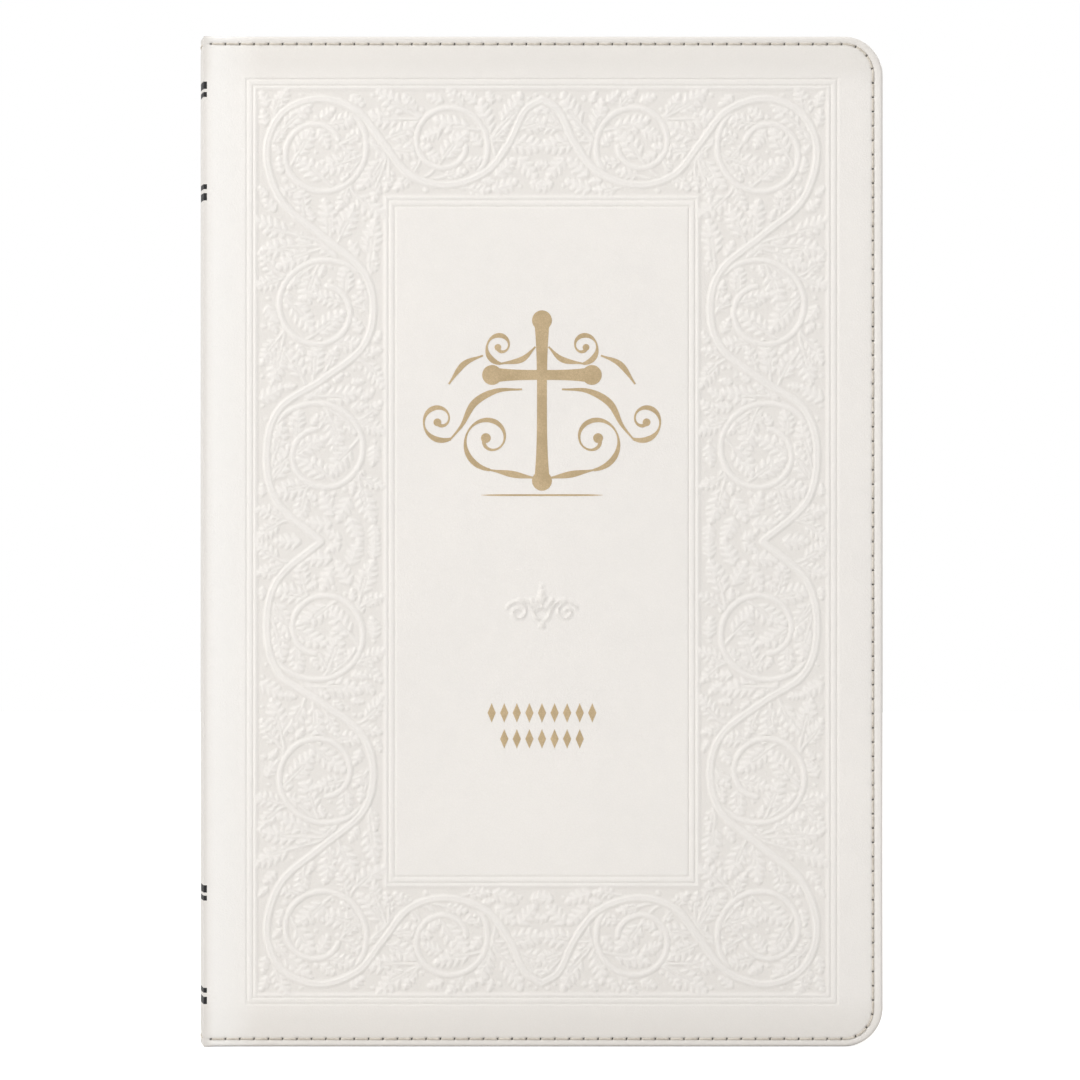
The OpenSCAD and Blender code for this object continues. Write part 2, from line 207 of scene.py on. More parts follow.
def in_place(across, depth, up, side):
    """Points of a cover. side is -1 for the front and 1 for the back. Towards the hinge line the cover thins
    to EDGE_THIN, and its outer face rises gently over a wider strip to the line itself."""
    s = smooth(across / JOINT_W)
    y = (1 - s) * depth * EDGE_THIN / COVER_T + s * (HINGE_OUT + depth)
    y = y - s * HINGE_OUT * (1 - smooth(across / SHOULDER_W)) * (1 - depth / COVER_T)
    return np.stack([HINGE_X + across, side * (HINGE_Y - y), up + 0 * across], axis=-1)


# ---------------------------------------------------------------- materials

class Nodes:
    """A node tree being filled, with short ways to add nodes and links."""

    def __init__(self, tree):
        self.tree = tree

    def feed(self, sockets, inputs):
        """Links or sets sockets, given by name or number."""
        for key, value in inputs.items():
            if isinstance(value, bpy.types.NodeSocket):
                self.tree.links.new(value, sockets[key])
            else:
                sockets[key].default_value = value

    def add(self, kind, inputs=None, **settings):
        node = self.tree.nodes.new("ShaderNode" + kind)
        for key, value in settings.items():
            setattr(node, key, value)
        self.feed(node.inputs, inputs or {})
        return node

    def maths(self, operation, a, b=0.0):
        return self.add("Math", {0: a, 1: b}, operation=operation).outputs[0]

    def times(self, a, b):
        return self.maths("MULTIPLY", a, b)

    def plus(self, a, b):
        return self.maths("ADD", a, b)

    def away(self, a, b):
        """Distance between two values."""
        return self.maths("ABSOLUTE", self.maths("SUBTRACT", a, b))

    def ramp(self, value, low, high, out_low=0.0, out_high=1.0):
        inputs = {"Value": value, "From Min": low, "From Max": high, "To Min": out_low, "To Max": out_high}
        return self.add("MapRange", inputs, interpolation_type="SMOOTHSTEP").outputs["Result"]

    def mix(self, share, a, b):
        """Two colours mixed: a at share 0 and b at share 1."""
        return self.add("Mix", {0: share, 6: a, 7: b}, data_type="RGBA").outputs[2]

    def noise(self, where, scale, detail=2.0, roughness=0.5):
        inputs = {"Vector": where, "Scale": scale, "Detail": detail, "Roughness": roughness}
        return self.add("TexNoise", inputs).outputs["Fac"]

    def cells(self, where, scale, feature="F1"):
        return self.add("TexVoronoi", {"Vector": where, "Scale": scale}, feature=feature).outputs["Distance"]

    def stretched(self, where, scale):
        return self.add("Mapping", {"Vector": where, "Scale": scale}).outputs["Vector"]

    def split(self, where):
        return self.add("SeparateXYZ", {0: where}).outputs

    def attribute(self, name, output="Fac"):
        return self.add("Attribute", attribute_name=name).outputs[output]

    def effect(self, name, **inputs):
        """Places an effect; its inputs are named with underscores for spaces."""
        node = self.add("Group", node_tree=EFFECTS[name])
        self.feed(node.inputs, {key.replace("_", " "): value for key, value in inputs.items()})
        return node.outputs

    def mottle(self, where, base, drift, patches):
        return self.effect("mottle", Vector=where, Base=(*base, 1), Drift=(*drift, 1),
                           Patches_per_metre=patches)["Color"]

    def bump(self, height, distance, strength=1.0):
        inputs = {"Height": height, "Distance": distance, "Strength": strength}
        return self.add("Bump", inputs).outputs["Normal"]


def new_effect(name, inputs, outputs):
    """Empty node group with named float, colour and vector sockets, and its Nodes."""
    tree = bpy.data.node_groups.new(name, "ShaderNodeTree")
    for way, sockets in (("INPUT", inputs), ("OUTPUT", outputs)):
        for label, kind, *value in sockets:
            socket = tree.interface.new_socket(label, in_out=way, socket_type="NodeSocket" + kind)
            if value:
                socket.default_value = value[0]
    into, out = tree.nodes.new("NodeGroupInput"), tree.nodes.new("NodeGroupOutput")
    return Nodes(tree), into.outputs, out.inputs


def grain_effect():
    """Fine pebbled leather grain: rounded cells of two sizes with creases, as a height and a mask of the
    creases."""
    n, given, out = new_effect("leather_grain", [("Vector", "Vector"), ("Cells per metre", "Float", 1600.0)],
                               [("Height", "Float"), ("Creases", "Float")])
    size = given["Cells per metre"]
    warp = n.add("TexNoise", {"Vector": given["Vector"], "Scale": 900.0, "Detail": 1.0}).outputs["Color"]
    small = n.add("VectorMath", {0: warp, "Scale": 0.0003}, operation="SCALE").outputs[0]
    pushed = n.add("VectorMath", {0: given["Vector"], 1: small}, operation="ADD").outputs[0]
    edges = n.cells(pushed, size, "DISTANCE_TO_EDGE")
    fine = n.cells(pushed, n.times(size, 2.3))
    broad = n.noise(given["Vector"], 260.0, 2.0)
    height = n.plus(n.times(n.ramp(edges, 0.0, 0.32), 0.55), n.times(fine, -0.35))
    n.feed(out, {"Height": n.plus(height, n.times(broad, 0.6)),
                 "Creases": n.ramp(edges, 0.0, 0.14, 1.0, 0.0)})
    return n.tree


def mottle_effect():
    """Slow uneven colour: a base colour drifting towards a second one in soft patches of two sizes."""
    n, given, out = new_effect("mottle", [("Vector", "Vector"), ("Base", "Color"), ("Drift", "Color"),
                                          ("Patches per metre", "Float", 25.0)], [("Color", "Color")])
    patches = given["Patches per metre"]
    wide = n.noise(given["Vector"], patches, 3.0)
    close = n.noise(given["Vector"], n.times(patches, 9.0), 2.0)
    share = n.plus(n.times(wide, 0.7), n.times(close, 0.3))
    n.feed(out, {"Color": n.mix(n.ramp(share, 0.35, 0.65), given["Base"], given["Drift"])})
    return n.tree


def weave_effect():
    """Plain weave along X and Z: two sets of ribs that pass over and under, as a height."""
    n, given, out = new_effect("weave", [("Vector", "Vector"), ("Threads per metre", "Float", 2500.0)],
                               [("Height", "Float")])
    parts = n.split(given["Vector"])
    turn = n.times(given["Threads per metre"], math.pi)
    ribs = [n.maths("ABSOLUTE", n.maths("SINE", n.times(parts[k], turn))) for k in ("X", "Z")]
    n.feed(out, {"Height": n.maths("MAXIMUM", *ribs)})
    return n.tree


EFFECTS = {"grain": grain_effect(), "mottle": mottle_effect(), "weave": weave_effect()}


def material(name, make, **settings):
    """New material. make() is given its Nodes and its Object coordinates, and gives what feeds the Principled
    shader: colour, roughness, normal and glow. None, or leaving it off, keeps the plain value in settings."""
    m = bpy.data.materials.new(name)
    m.use_nodes = True
    m.node_tree.nodes.clear()
    n = Nodes(m.node_tree)
    shader = n.add("BsdfPrincipled", {key.replace("_", " "): value for key, value in settings.items()})
    n.add("OutputMaterial", {"Surface": shader.outputs[0]})
    made = zip(("Base Color", "Roughness", "Normal", "Emission Strength"),
               make(n, n.add("TexCoord").outputs["Object"]))
    n.feed(shader.inputs, {key: value for key, value in made if value is not None})
    return m


def foil_ends(n, parts):
    """1 where the spine's black bands run on past the hinge lines onto the covers' outside."""
    bands = 0.0
    for low, height in BANDS:
        off = n.away(parts["Z"], (low + height / 2) * MM)
        bands = n.plus(n.maths("LESS_THAN", off, height / 2 * MM), bands)
    near = n.maths("LESS_THAN", parts["X"], (HINGE_X + FOIL_RUN_ON) * MM)
    outside = n.maths("GREATER_THAN", n.maths("ABSOLUTE", parts["Y"]), (HINGE_Y - 0.7) * MM)
    return n.times(bands, n.times(near, outside))


def cover_leather(n, where):
    """Off-white grained leather: greyer in pressed ground and where rubbed. Painted shade greys it near the
    head and tail, over the spine and beside the hinge line, a painted highlight lightens it just past that
    line, painted shade darkens the needle holes, and it is black under the foil's ends."""
    parts = n.split(where)
    grain = n.effect("grain", Vector=where, Cells_per_metre=1500.0)
    rubbed = n.attribute("rubbed")

    def along_x(low, high, *out):
        """Ramp between two distances from the hinge line."""
        return n.ramp(parts["X"], (HINGE_X + low) * MM, (HINGE_X + high) * MM, *out)
    colour = n.mottle(where, (0.822, 0.793, 0.759), (0.80, 0.773, 0.742), 22.0)
    from_mid = n.away(parts["Z"], MID_Z * MM)
    for share, tone in (
            (n.times(grain["Creases"], 0.1), (0.66, 0.63, 0.58)),
            (n.times(n.attribute("pressed"), 0.5), (0.69, 0.66, 0.62)),
            (n.times(rubbed, 0.35), (0.74, 0.70, 0.65)),
            # painted shade: greyer within 13 mm of the head and tail
            (n.ramp(from_mid, (MID_Z - 13) * MM, (MID_Z - 5) * MM, 0.0, 0.42), (0.68, 0.65, 0.61)),
            # painted shade: grey over the whole spine, fading out 1.4 mm past the hinge line onto the covers
            (along_x(-0.3, 1.4, 0.75, 0.0), (0.66, 0.635, 0.60)),
            # painted highlight: a lighter band from just past the hinge line, fading out by 14 mm
            (n.times(along_x(3, 14, 0.7, 0.0), along_x(0.4, 2.6)), (0.90, 0.885, 0.86)),
            # painted shade: near black in the needle holes
            (n.ramp(n.attribute("hole"), 0.1, 0.6, 0.0, 0.97), (0.05, 0.045, 0.04)),
            (foil_ends(n, parts), (0.008, 0.008, 0.009))):
        colour = n.mix(share, colour, (*tone, 1))
    rough = n.plus(0.50, n.times(grain["Creases"], 0.12))
    return colour, n.maths("SUBTRACT", rough, n.times(rubbed, 0.1)), n.bump(grain["Height"], 0.00005, 0.6)


def sewing_thread(n, where):
    """Pale tan twisted thread: fine slanting plies and slight soiling."""
    return n.mottle(where, (0.66, 0.61, 0.53), (0.5, 0.45, 0.38), 700.0), None, n.bump(
        n.noise(where, 9000.0, 1.0), 0.00004)


def gold_foil(n, where):
    """Satin gold foil: metal with fine pits where the grain shows through, and slow tarnish."""
    colour = n.mottle(where, (0.75, 0.58, 0.36), (0.63, 0.48, 0.285), 160.0)
    grain = n.effect("grain", Vector=where, Cells_per_metre=1900.0)
    creases = grain["Creases"]
    return (n.mix(n.times(creases, 0.35), colour, (0.54, 0.43, 0.28, 1)), n.plus(0.36, n.times(creases, 0.2)),
            n.bump(grain["Height"], 0.00003, 0.6))


def black_foil(n, where):
    """Black foil on the spine, slightly broken by the grain."""
    grain = n.effect("grain", Vector=where, Cells_per_metre=1500.0)
    creases = grain["Creases"]
    return (n.mix(n.times(creases, 0.3), (0.008, 0.008, 0.009, 1), (0.05, 0.047, 0.045, 1)),
            n.plus(0.45, n.times(creases, 0.3)), n.bump(grain["Height"], 0.00003, 0.6))


def gilt_edge(n, _):
    """Gilded page edges: fine parallel leaf lines across the block's thickness."""
    place = n.attribute("place", "Vector")
    leaves = n.noise(n.stretched(place, (0.05, 18.0, 0.05)), 1.0, 3.0, 0.7)
    sheets = n.noise(n.stretched(place, (0.02, 3.2, 0.02)), 1.0, 2.0)
    colour = n.mix(n.ramp(leaves, 0.3, 0.7), (0.40, 0.29, 0.14, 1), (0.78, 0.62, 0.36, 1))
    return (n.mix(n.ramp(sheets, 0.35, 0.65), colour, (0.70, 0.54, 0.30, 1)),
            n.ramp(leaves, 0.2, 0.8, 0.5, 0.3), n.bump(leaves, 0.0001, 0.7))


def printed_page(n, _):
    """Thin page: two columns of short grey strokes that stand for lines of print, with plain margins and a
    rule between the columns."""
    line_step, word_step = 3.1, 7.0
    place = n.attribute("place", "Vector")
    parts = n.split(place)
    fibres = n.noise(n.stretched(place, (0.6, 0.6, 0.6)), 1.0, 4.0, 0.6)
    paper = n.mix(n.ramp(fibres, 0.3, 0.7), (0.84, 0.81, 0.74, 1), (0.88, 0.86, 0.80, 1))
    rows = n.maths("DIVIDE", parts["Z"], line_step)
    row, row_number = n.maths("FRACT", rows), n.maths("FLOOR", rows)
    in_line = n.times(n.ramp(row, 0.28, 0.34), n.ramp(row, 0.62, 0.68, 1.0, 0.0))
    shifted = n.plus(parts["X"], n.times(row_number, 2.37))
    word_place = n.add("CombineXYZ", {0: n.maths("DIVIDE", shifted, word_step / 6),
                                      1: n.times(row_number, 7.3)})
    in_word = n.ramp(n.noise(word_place.outputs[0], 1.0, 0.0), 0.36, 0.4)
    half, middle = (PAGES_HIGH[0] - PAGES_LOW[0]) / 2, (PAGES_HIGH[0] + PAGES_LOW[0]) / 2 + 3
    from_middle = n.away(parts["X"], middle)
    in_column = n.times(n.ramp(from_middle, 3.4, 3.6),
                        n.ramp(from_middle, half - 15.2, half - 15.0, 1.0, 0.0))
    on_page = n.ramp(n.away(parts["Z"], MID_Z), 97.0, 97.3, 1.0, 0.0)
    print_ink = n.times(n.times(n.times(in_line, in_word), n.times(in_column, on_page)), 0.62)
    rule = n.times(n.times(n.ramp(from_middle, 0.12, 0.2, 1.0, 0.0), on_page), 0.4)
    ink = n.maths("MAXIMUM", print_ink, rule)
    return n.mix(ink, paper, (0.12, 0.115, 0.11, 1)), None, n.bump(fibres, 0.00005, 0.5)


def endpaper(n, where):
    """Off-white laid endpaper with fine fibres and faint laid lines."""
    fibres = n.noise(where, 1800.0, 4.0, 0.65)
    laid = n.noise(n.stretched(where, (30.0, 30.0, 1500.0)), 1.0, 1.0)
    colour = n.mottle(where, (0.86, 0.84, 0.79), (0.81, 0.79, 0.74), 60.0)
    return (n.mix(n.ramp(laid, 0.4, 0.6, 0.0, 0.08), colour, (0.6, 0.57, 0.5, 1)), None,
            n.bump(n.plus(fibres, laid), 0.00004, 0.6))


def grey_board(n, where):
    """Binder's board: pressed grey-brown fibres."""
    return (n.mottle(where, (0.36, 0.30, 0.22), (0.46, 0.39, 0.30), 300.0), None,
            n.bump(n.noise(where, 1500.0, 5.0, 0.7), 0.0001))


def mull_cloth(n, where):
    """Open starched mull on the pages' backs."""
    return (n.mottle(where, (0.78, 0.75, 0.68), (0.70, 0.66, 0.58), 150.0), None,
            n.bump(n.effect("weave", Vector=where, Threads_per_metre=1100.0)["Height"], 0.0001))


def band_cloth(n, _):
    """Head band: white and gold threads wound side by side over a cord."""
    y = n.split(n.attribute("place", "Vector"))["Y"]
    wave = n.maths("SINE", n.times(y, 2 * math.pi / 1.4))
    fine = n.maths("ABSOLUTE", n.maths("SINE", n.times(y, math.pi / 0.35)))
    return (n.mix(n.ramp(wave, -0.1, 0.1), (0.82, 0.80, 0.75, 1), (0.62, 0.47, 0.22, 1)), None,
            n.bump(fine, 0.0001))


def ribbon_satin(n, where):
    """Satin ribbon: close lengthwise floats crossed by faint picks, with a woven edge."""
    floats = n.noise(n.stretched(where, (9000.0, 9000.0, 260.0)), 1.0, 1.0)
    picks = n.effect("weave", Vector=where, Threads_per_metre=5000.0)["Height"]
    return (n.mix(n.ramp(floats, 0.35, 0.65), (0.58, 0.45, 0.24, 1), (0.72, 0.59, 0.36, 1)),
            n.ramp(floats, 0.3, 0.7, 0.5, 0.34), n.bump(n.plus(floats, n.times(picks, 0.3)), 0.00004, 0.7))


LEATHER = material("cover_leather", cover_leather, Roughness=0.52, Sheen_Weight=0.08, Specular_IOR_Level=0.42)
THREAD = material("sewing_thread", sewing_thread, Roughness=0.7, Sheen_Weight=0.3)
GOLD = material("gold_foil", gold_foil, Roughness=0.34, Metallic=1.0)
BLACK = material("black_foil", black_foil, Roughness=0.5, Specular_IOR_Level=0.25)
GILT = material("gilt_edge", gilt_edge, Roughness=0.36, Metallic=1.0)
PAGE = material("printed_page", printed_page, Roughness=0.75)
ENDPAPER = material("endpaper", endpaper, Roughness=0.68)
BOARD = material("grey_board", grey_board, Roughness=0.9)
MULL = material("mull_cloth", mull_cloth, Roughness=0.85, Sheen_Weight=0.2)
BAND = material("band_cloth", band_cloth, Roughness=0.55, Sheen_Weight=0.4)
RIBBON = material("ribbon_satin", ribbon_satin, Roughness=0.42, Sheen_Weight=0.5)


# ---------------------------------------------------------------- camera, light and floor

SKY_LIGHT, FLOOR_GLOW = 0.66, (0.6, 1.0)


def in_scene(name, data, place, turn):
    """Puts a camera or a lamp into the scene."""
    holder = bpy.data.objects.new(name, data)
    holder.location, holder.rotation_euler = place, turn
    bpy.context.scene.collection.objects.link(holder)
    return holder


def front_camera():
    """Camera square on to the front cover, level with the book's middle."""
    distance, seen = 1300.0, 249.0
    camera = bpy.data.cameras.new("camera")
    camera.sensor_width = 36.0
    camera.lens = camera.sensor_width * distance / seen
    place = (0.0, -(HALF_T + distance) * MM, (MID_Z + 0.35) * MM)
    bpy.context.scene.camera = in_scene("camera", camera, place, (math.pi / 2, 0.0, 0.0))


def lamp(name, place, size, power, colour=(1, 1, 1)):
    """Square soft lamp at a place in metres, turned towards the book's middle."""
    light = bpy.data.lights.new(name, "AREA")
    light.size, light.energy, light.color = size, power, colour
    way = np.array((0.0, 0.0, MID_Z * MM)) - np.array(place, float)
    in_scene(name, light, place, (math.acos(-way[2] / np.linalg.norm(way)), 0.0,
                                  math.atan2(way[1], way[0]) - math.pi / 2))


def floor_paint(n, where):
    """Pale grey paint that glows for the camera alone, more so further from the book."""
    seen = n.add("LightPath").outputs["Is Camera Ray"]
    away = n.add("VectorMath", {0: where}, operation="LENGTH").outputs["Value"]
    colour = n.mix(n.noise(where, 3.0), (0.68, 0.68, 0.68, 1), (0.72, 0.72, 0.72, 1))
    return colour, None, None, n.times(seen, n.ramp(away, 0.12, 0.6, *FLOOR_GLOW))


def studio():
    """White surroundings, a pale lit floor and four soft lamps. The surroundings look white but light the
    book less than the lamps do, so that the carving keeps its shading."""
    world = bpy.data.worlds.new("studio")
    world.use_nodes = True
    n = Nodes(world.node_tree)
    seen = n.add("LightPath").outputs["Is Camera Ray"]
    n.feed(world.node_tree.nodes["Background"].inputs,
           {"Color": (1.0, 1.0, 1.0, 1), "Strength": n.ramp(seen, 0.0, 1.0, SKY_LIGHT, 1.0)})
    bpy.context.scene.world = world
    bpy.context.scene.view_settings.view_transform = "Standard"
    lamp("key", (-1.05, -0.85, 0.8), 0.45, 11.5, (1.0, 0.985, 0.965))
    lamp("fill", (1.3, -1.2, 0.2), 1.2, 1.5)
    lamp("top", (0.0, -0.1, 1.5), 1.2, 5.0)
    lamp("back", (0.9, 1.2, 0.8), 0.6, 7.0)
    paint = material("floor_paint", floor_paint, Roughness=0.8, Emission_Color=(1.0, 1.0, 1.0, 1))
    reach = 2500.0
    corners = [(-reach, -reach, 0), (reach, -reach, 0), (reach, reach, 0), (-reach, reach, 0)]
    solid("floor", corners, [[0, 1, 2, 3]], paint)


front_camera()
studio()


# ---------------------------------------------------------------- carved ornament

class Canvas:
    """A height map being carved: rows go down, columns go across, and places are (across, down)."""

    def __init__(self, width, height, step):
        self.step = step
        self.x = np.arange(0, width + step, step)
        self.z = np.arange(0, height + step, step)
        self.height = np.zeros((len(self.z), len(self.x)))
        self.taken = np.zeros(self.height.shape, bool)

    def window(self, place, reach):
        """Slice of the map within reach of a place, and its cells' places; None if it lies outside."""
        lo = [max(int((place[k] - reach) / self.step), 0) for k in (0, 1)]
        hi = [min(int((place[k] + reach) / self.step) + 2, size) for k, size in
              ((0, len(self.x)), (1, len(self.z)))]
        if lo[0] >= hi[0] or lo[1] >= hi[1]:
            return None
        part = (slice(lo[1], hi[1]), slice(lo[0], hi[0]))
        x, z = np.meshgrid(self.x[part[1]], self.z[part[0]])
        return part, x, z

    def distance(self, paths, reach):
        """Distance of every cell from the nearest of some paths, as far as reach."""
        far = np.full(self.height.shape, np.inf)
        for path in paths:
            for place in path:
                found = self.window(place, reach)
                if found:
                    part, x, z = found
                    far[part] = np.minimum(far[part], (x - place[0]) ** 2 + (z - place[1]) ** 2)
        return np.sqrt(far)

    def stem(self, paths, half, height, groove=0.0, moat=0.3):
        """Round ridge along paths, with an optional groove down its middle and a moat cut beside it."""
        d = self.distance(paths, half + moat + 0.1)
        ridge = height * np.sqrt(np.clip(1 - (d / half) ** 2, 0, 1))
        ridge -= groove * np.exp(-((d / (0.24 * half)) ** 2))
        self.height = np.where(d < half, np.maximum(ridge, 0.0), self.height)
        beside = (d >= half) & (d < half + moat)
        self.height = np.where(beside, self.height * smooth((d - half) / moat) * 0.5, self.height)
        self.taken |= d < half + 0.15

    def leaf_shape(self, place, heading, length, width, lobes, bend):
        """Lobed leaf: half its width is a sine arch along the midrib, notched by |sin| lobes that lean to the
        tip. Returns the slice, the share of the half width at each cell, and the lobes' fullness."""
        middle = (place[0] + length / 2 * math.cos(heading), place[1] + length / 2 * math.sin(heading))
        found = self.window(middle, 0.62 * length)
        if found is None:
            return None
        part, x, z = found
        u = (x - place[0]) * math.cos(heading) + (z - place[1]) * math.sin(heading)
        v = (z - place[1]) * math.cos(heading) - (x - place[0]) * math.sin(heading) - bend * u * u / length
        t = np.clip(u / length, 1e-4, 1 - 1e-4)
        lean = np.clip(t - 0.55 * np.abs(v) / length, 0, 1)
        fingers = np.abs(np.sin(math.pi * (lobes * lean + 0.12))) ** 0.7
        arch = width / 2 * np.sin(math.pi * t ** 0.8) ** 0.65
        outline = arch * (0.30 + 0.70 * fingers) + 0.12
        share = np.where((u > 0) & (u < length), np.abs(v) / outline, 9.0)
        return part, share, fingers, v

    def leaf(self, place, heading, length, width, lobes, bend, height):
        """Carves a leaf with ribbed lobes and a raised midrib, and a moat around it."""
        made = self.leaf_shape(place, heading, length, width, lobes, bend)
        if made is None:
            return
        part, share, fingers, v = made
        body = height * np.clip(1 - share ** 4, 0, 1) ** 0.5 * (0.62 + 0.38 * fingers)
        body += 0.35 * height * np.exp(-((v / 0.22) ** 2)) * (share < 1)
        old = self.height[part]
        moat = (share >= 1) & (share < 1.35)
        self.height[part] = np.where(share < 1, body, np.where(moat, old * 0.35, old))
        self.taken[part] |= share < 1.1

    def crowding(self, place, heading, length, width, lobes, bend, allowed):
        """Share of a leaf that would lie on taken or forbidden ground."""
        made = self.leaf_shape(place, heading, length, width, lobes, bend)
        if made is None:
            return 1.0
        part, share, _, _ = made
        inside = share < 1
        clash = inside & (self.taken[part] | ~allowed[part])
        missing = inside.sum() * self.step ** 2 < 0.28 * length * width
        return 1.0 if missing else clash.sum() / max(inside.sum(), 1)

    def berry(self, place, radius, height):
        """Round berry with a dimple."""
        found = self.window(place, radius + 0.4)
        if found:
            part, x, z = found
            d = np.hypot(x - place[0], z - place[1])
            dome = height * np.sqrt(np.clip(1 - (d / radius) ** 2, 0, 1))
            dome -= 0.3 * height * np.exp(-((d / 0.25) ** 2))
            self.height[part] = np.where(d < radius, dome, np.where(d < radius + 0.25, 0, self.height[part]))
            self.taken[part] |= d < radius + 0.15

    def at(self, x, z):
        """Height at any places, blended between cells."""
        fx = np.clip(x / self.step, 0, len(self.x) - 1.001)
        fz = np.clip(z / self.step, 0, len(self.z) - 1.001)
        i, j = fz.astype(int), fx.astype(int)
        p, q = fz - i, fx - j
        h = self.height
        return ((1 - p) * ((1 - q) * h[i, j] + q * h[i, j + 1])
                + p * ((1 - q) * h[i + 1, j] + q * h[i + 1, j + 1]))


def along(points, step=0.15):
    """Smooth curve through points (Catmull-Rom), with places a step apart."""
    p = np.asarray(points, float)
    p = np.vstack([2 * p[0] - p[1], p, 2 * p[-1] - p[-2]])
    t = np.linspace(0, 1, 40, endpoint=False)[:, None]
    bits = []
    for a, b, c, d in zip(p[:-3], p[1:-2], p[2:-1], p[3:]):
        bits.append(0.5 * (2 * b + (c - a) * t + (2 * a - 5 * b + 4 * c - d) * t ** 2
                           + (3 * b - a - 3 * c + d) * t ** 3))
    return evenly(np.vstack([*bits, p[-2:-1]]), step)


def evenly(line, step=0.15):
    """The same line with places a step apart."""
    run = np.concatenate([[0], np.cumsum(np.hypot(*np.diff(line, axis=0).T))])
    at = np.linspace(0, run[-1], max(int(run[-1] / step), 2))
    return np.stack([np.interp(at, run, line[:, k]) for k in (0, 1)], axis=1)


def spiral(centre, start_deg, turn_deg, r0, r1, mirror_x=1, mirror_z=1):
    """Scroll that winds in from radius r0 to r1: the angle grows evenly and the radius shrinks."""
    t = np.linspace(0, 1, 400)
    angle = np.radians(start_deg + turn_deg * t)
    r = r0 + (r1 - r0) * t ** 0.9
    line = np.stack([centre[0] - mirror_x * r * np.cos(angle), centre[1] - mirror_z * r * np.sin(angle)], 1)
    return evenly(line)


def headings(path):
    """Direction of a path at each of its places, in radians."""
    d = np.gradient(path, axis=0)
    return np.arctan2(d[:, 1], d[:, 0])


def spray(path, at, side, count, first, spread, reach, chance):
    """Thin stems that leave a path together and part like a fan: each turns by its own lean from the path's
    heading and then curls back along it. Gives the stems, and the place and heading of each stem's end."""
    i = int(at * (len(path) - 1))
    way = headings(path)[i]
    stems = []
    for k in range(count):
        lean = math.radians(first + spread * k)
        length = reach * chance.uniform(0.85, 1.15) * (1 - 0.06 * k)
        t = np.linspace(0, 1, int(length / 0.15))
        turn = way + side * lean * smooth(t * 1.5) * (1 + 0.35 * t) + side * math.radians(8)
        step = length / len(t)
        line = path[i] + np.cumsum(step * np.stack([np.cos(turn), np.sin(turn)], axis=1), axis=0)
        stems.append((line, turn))
    return stems


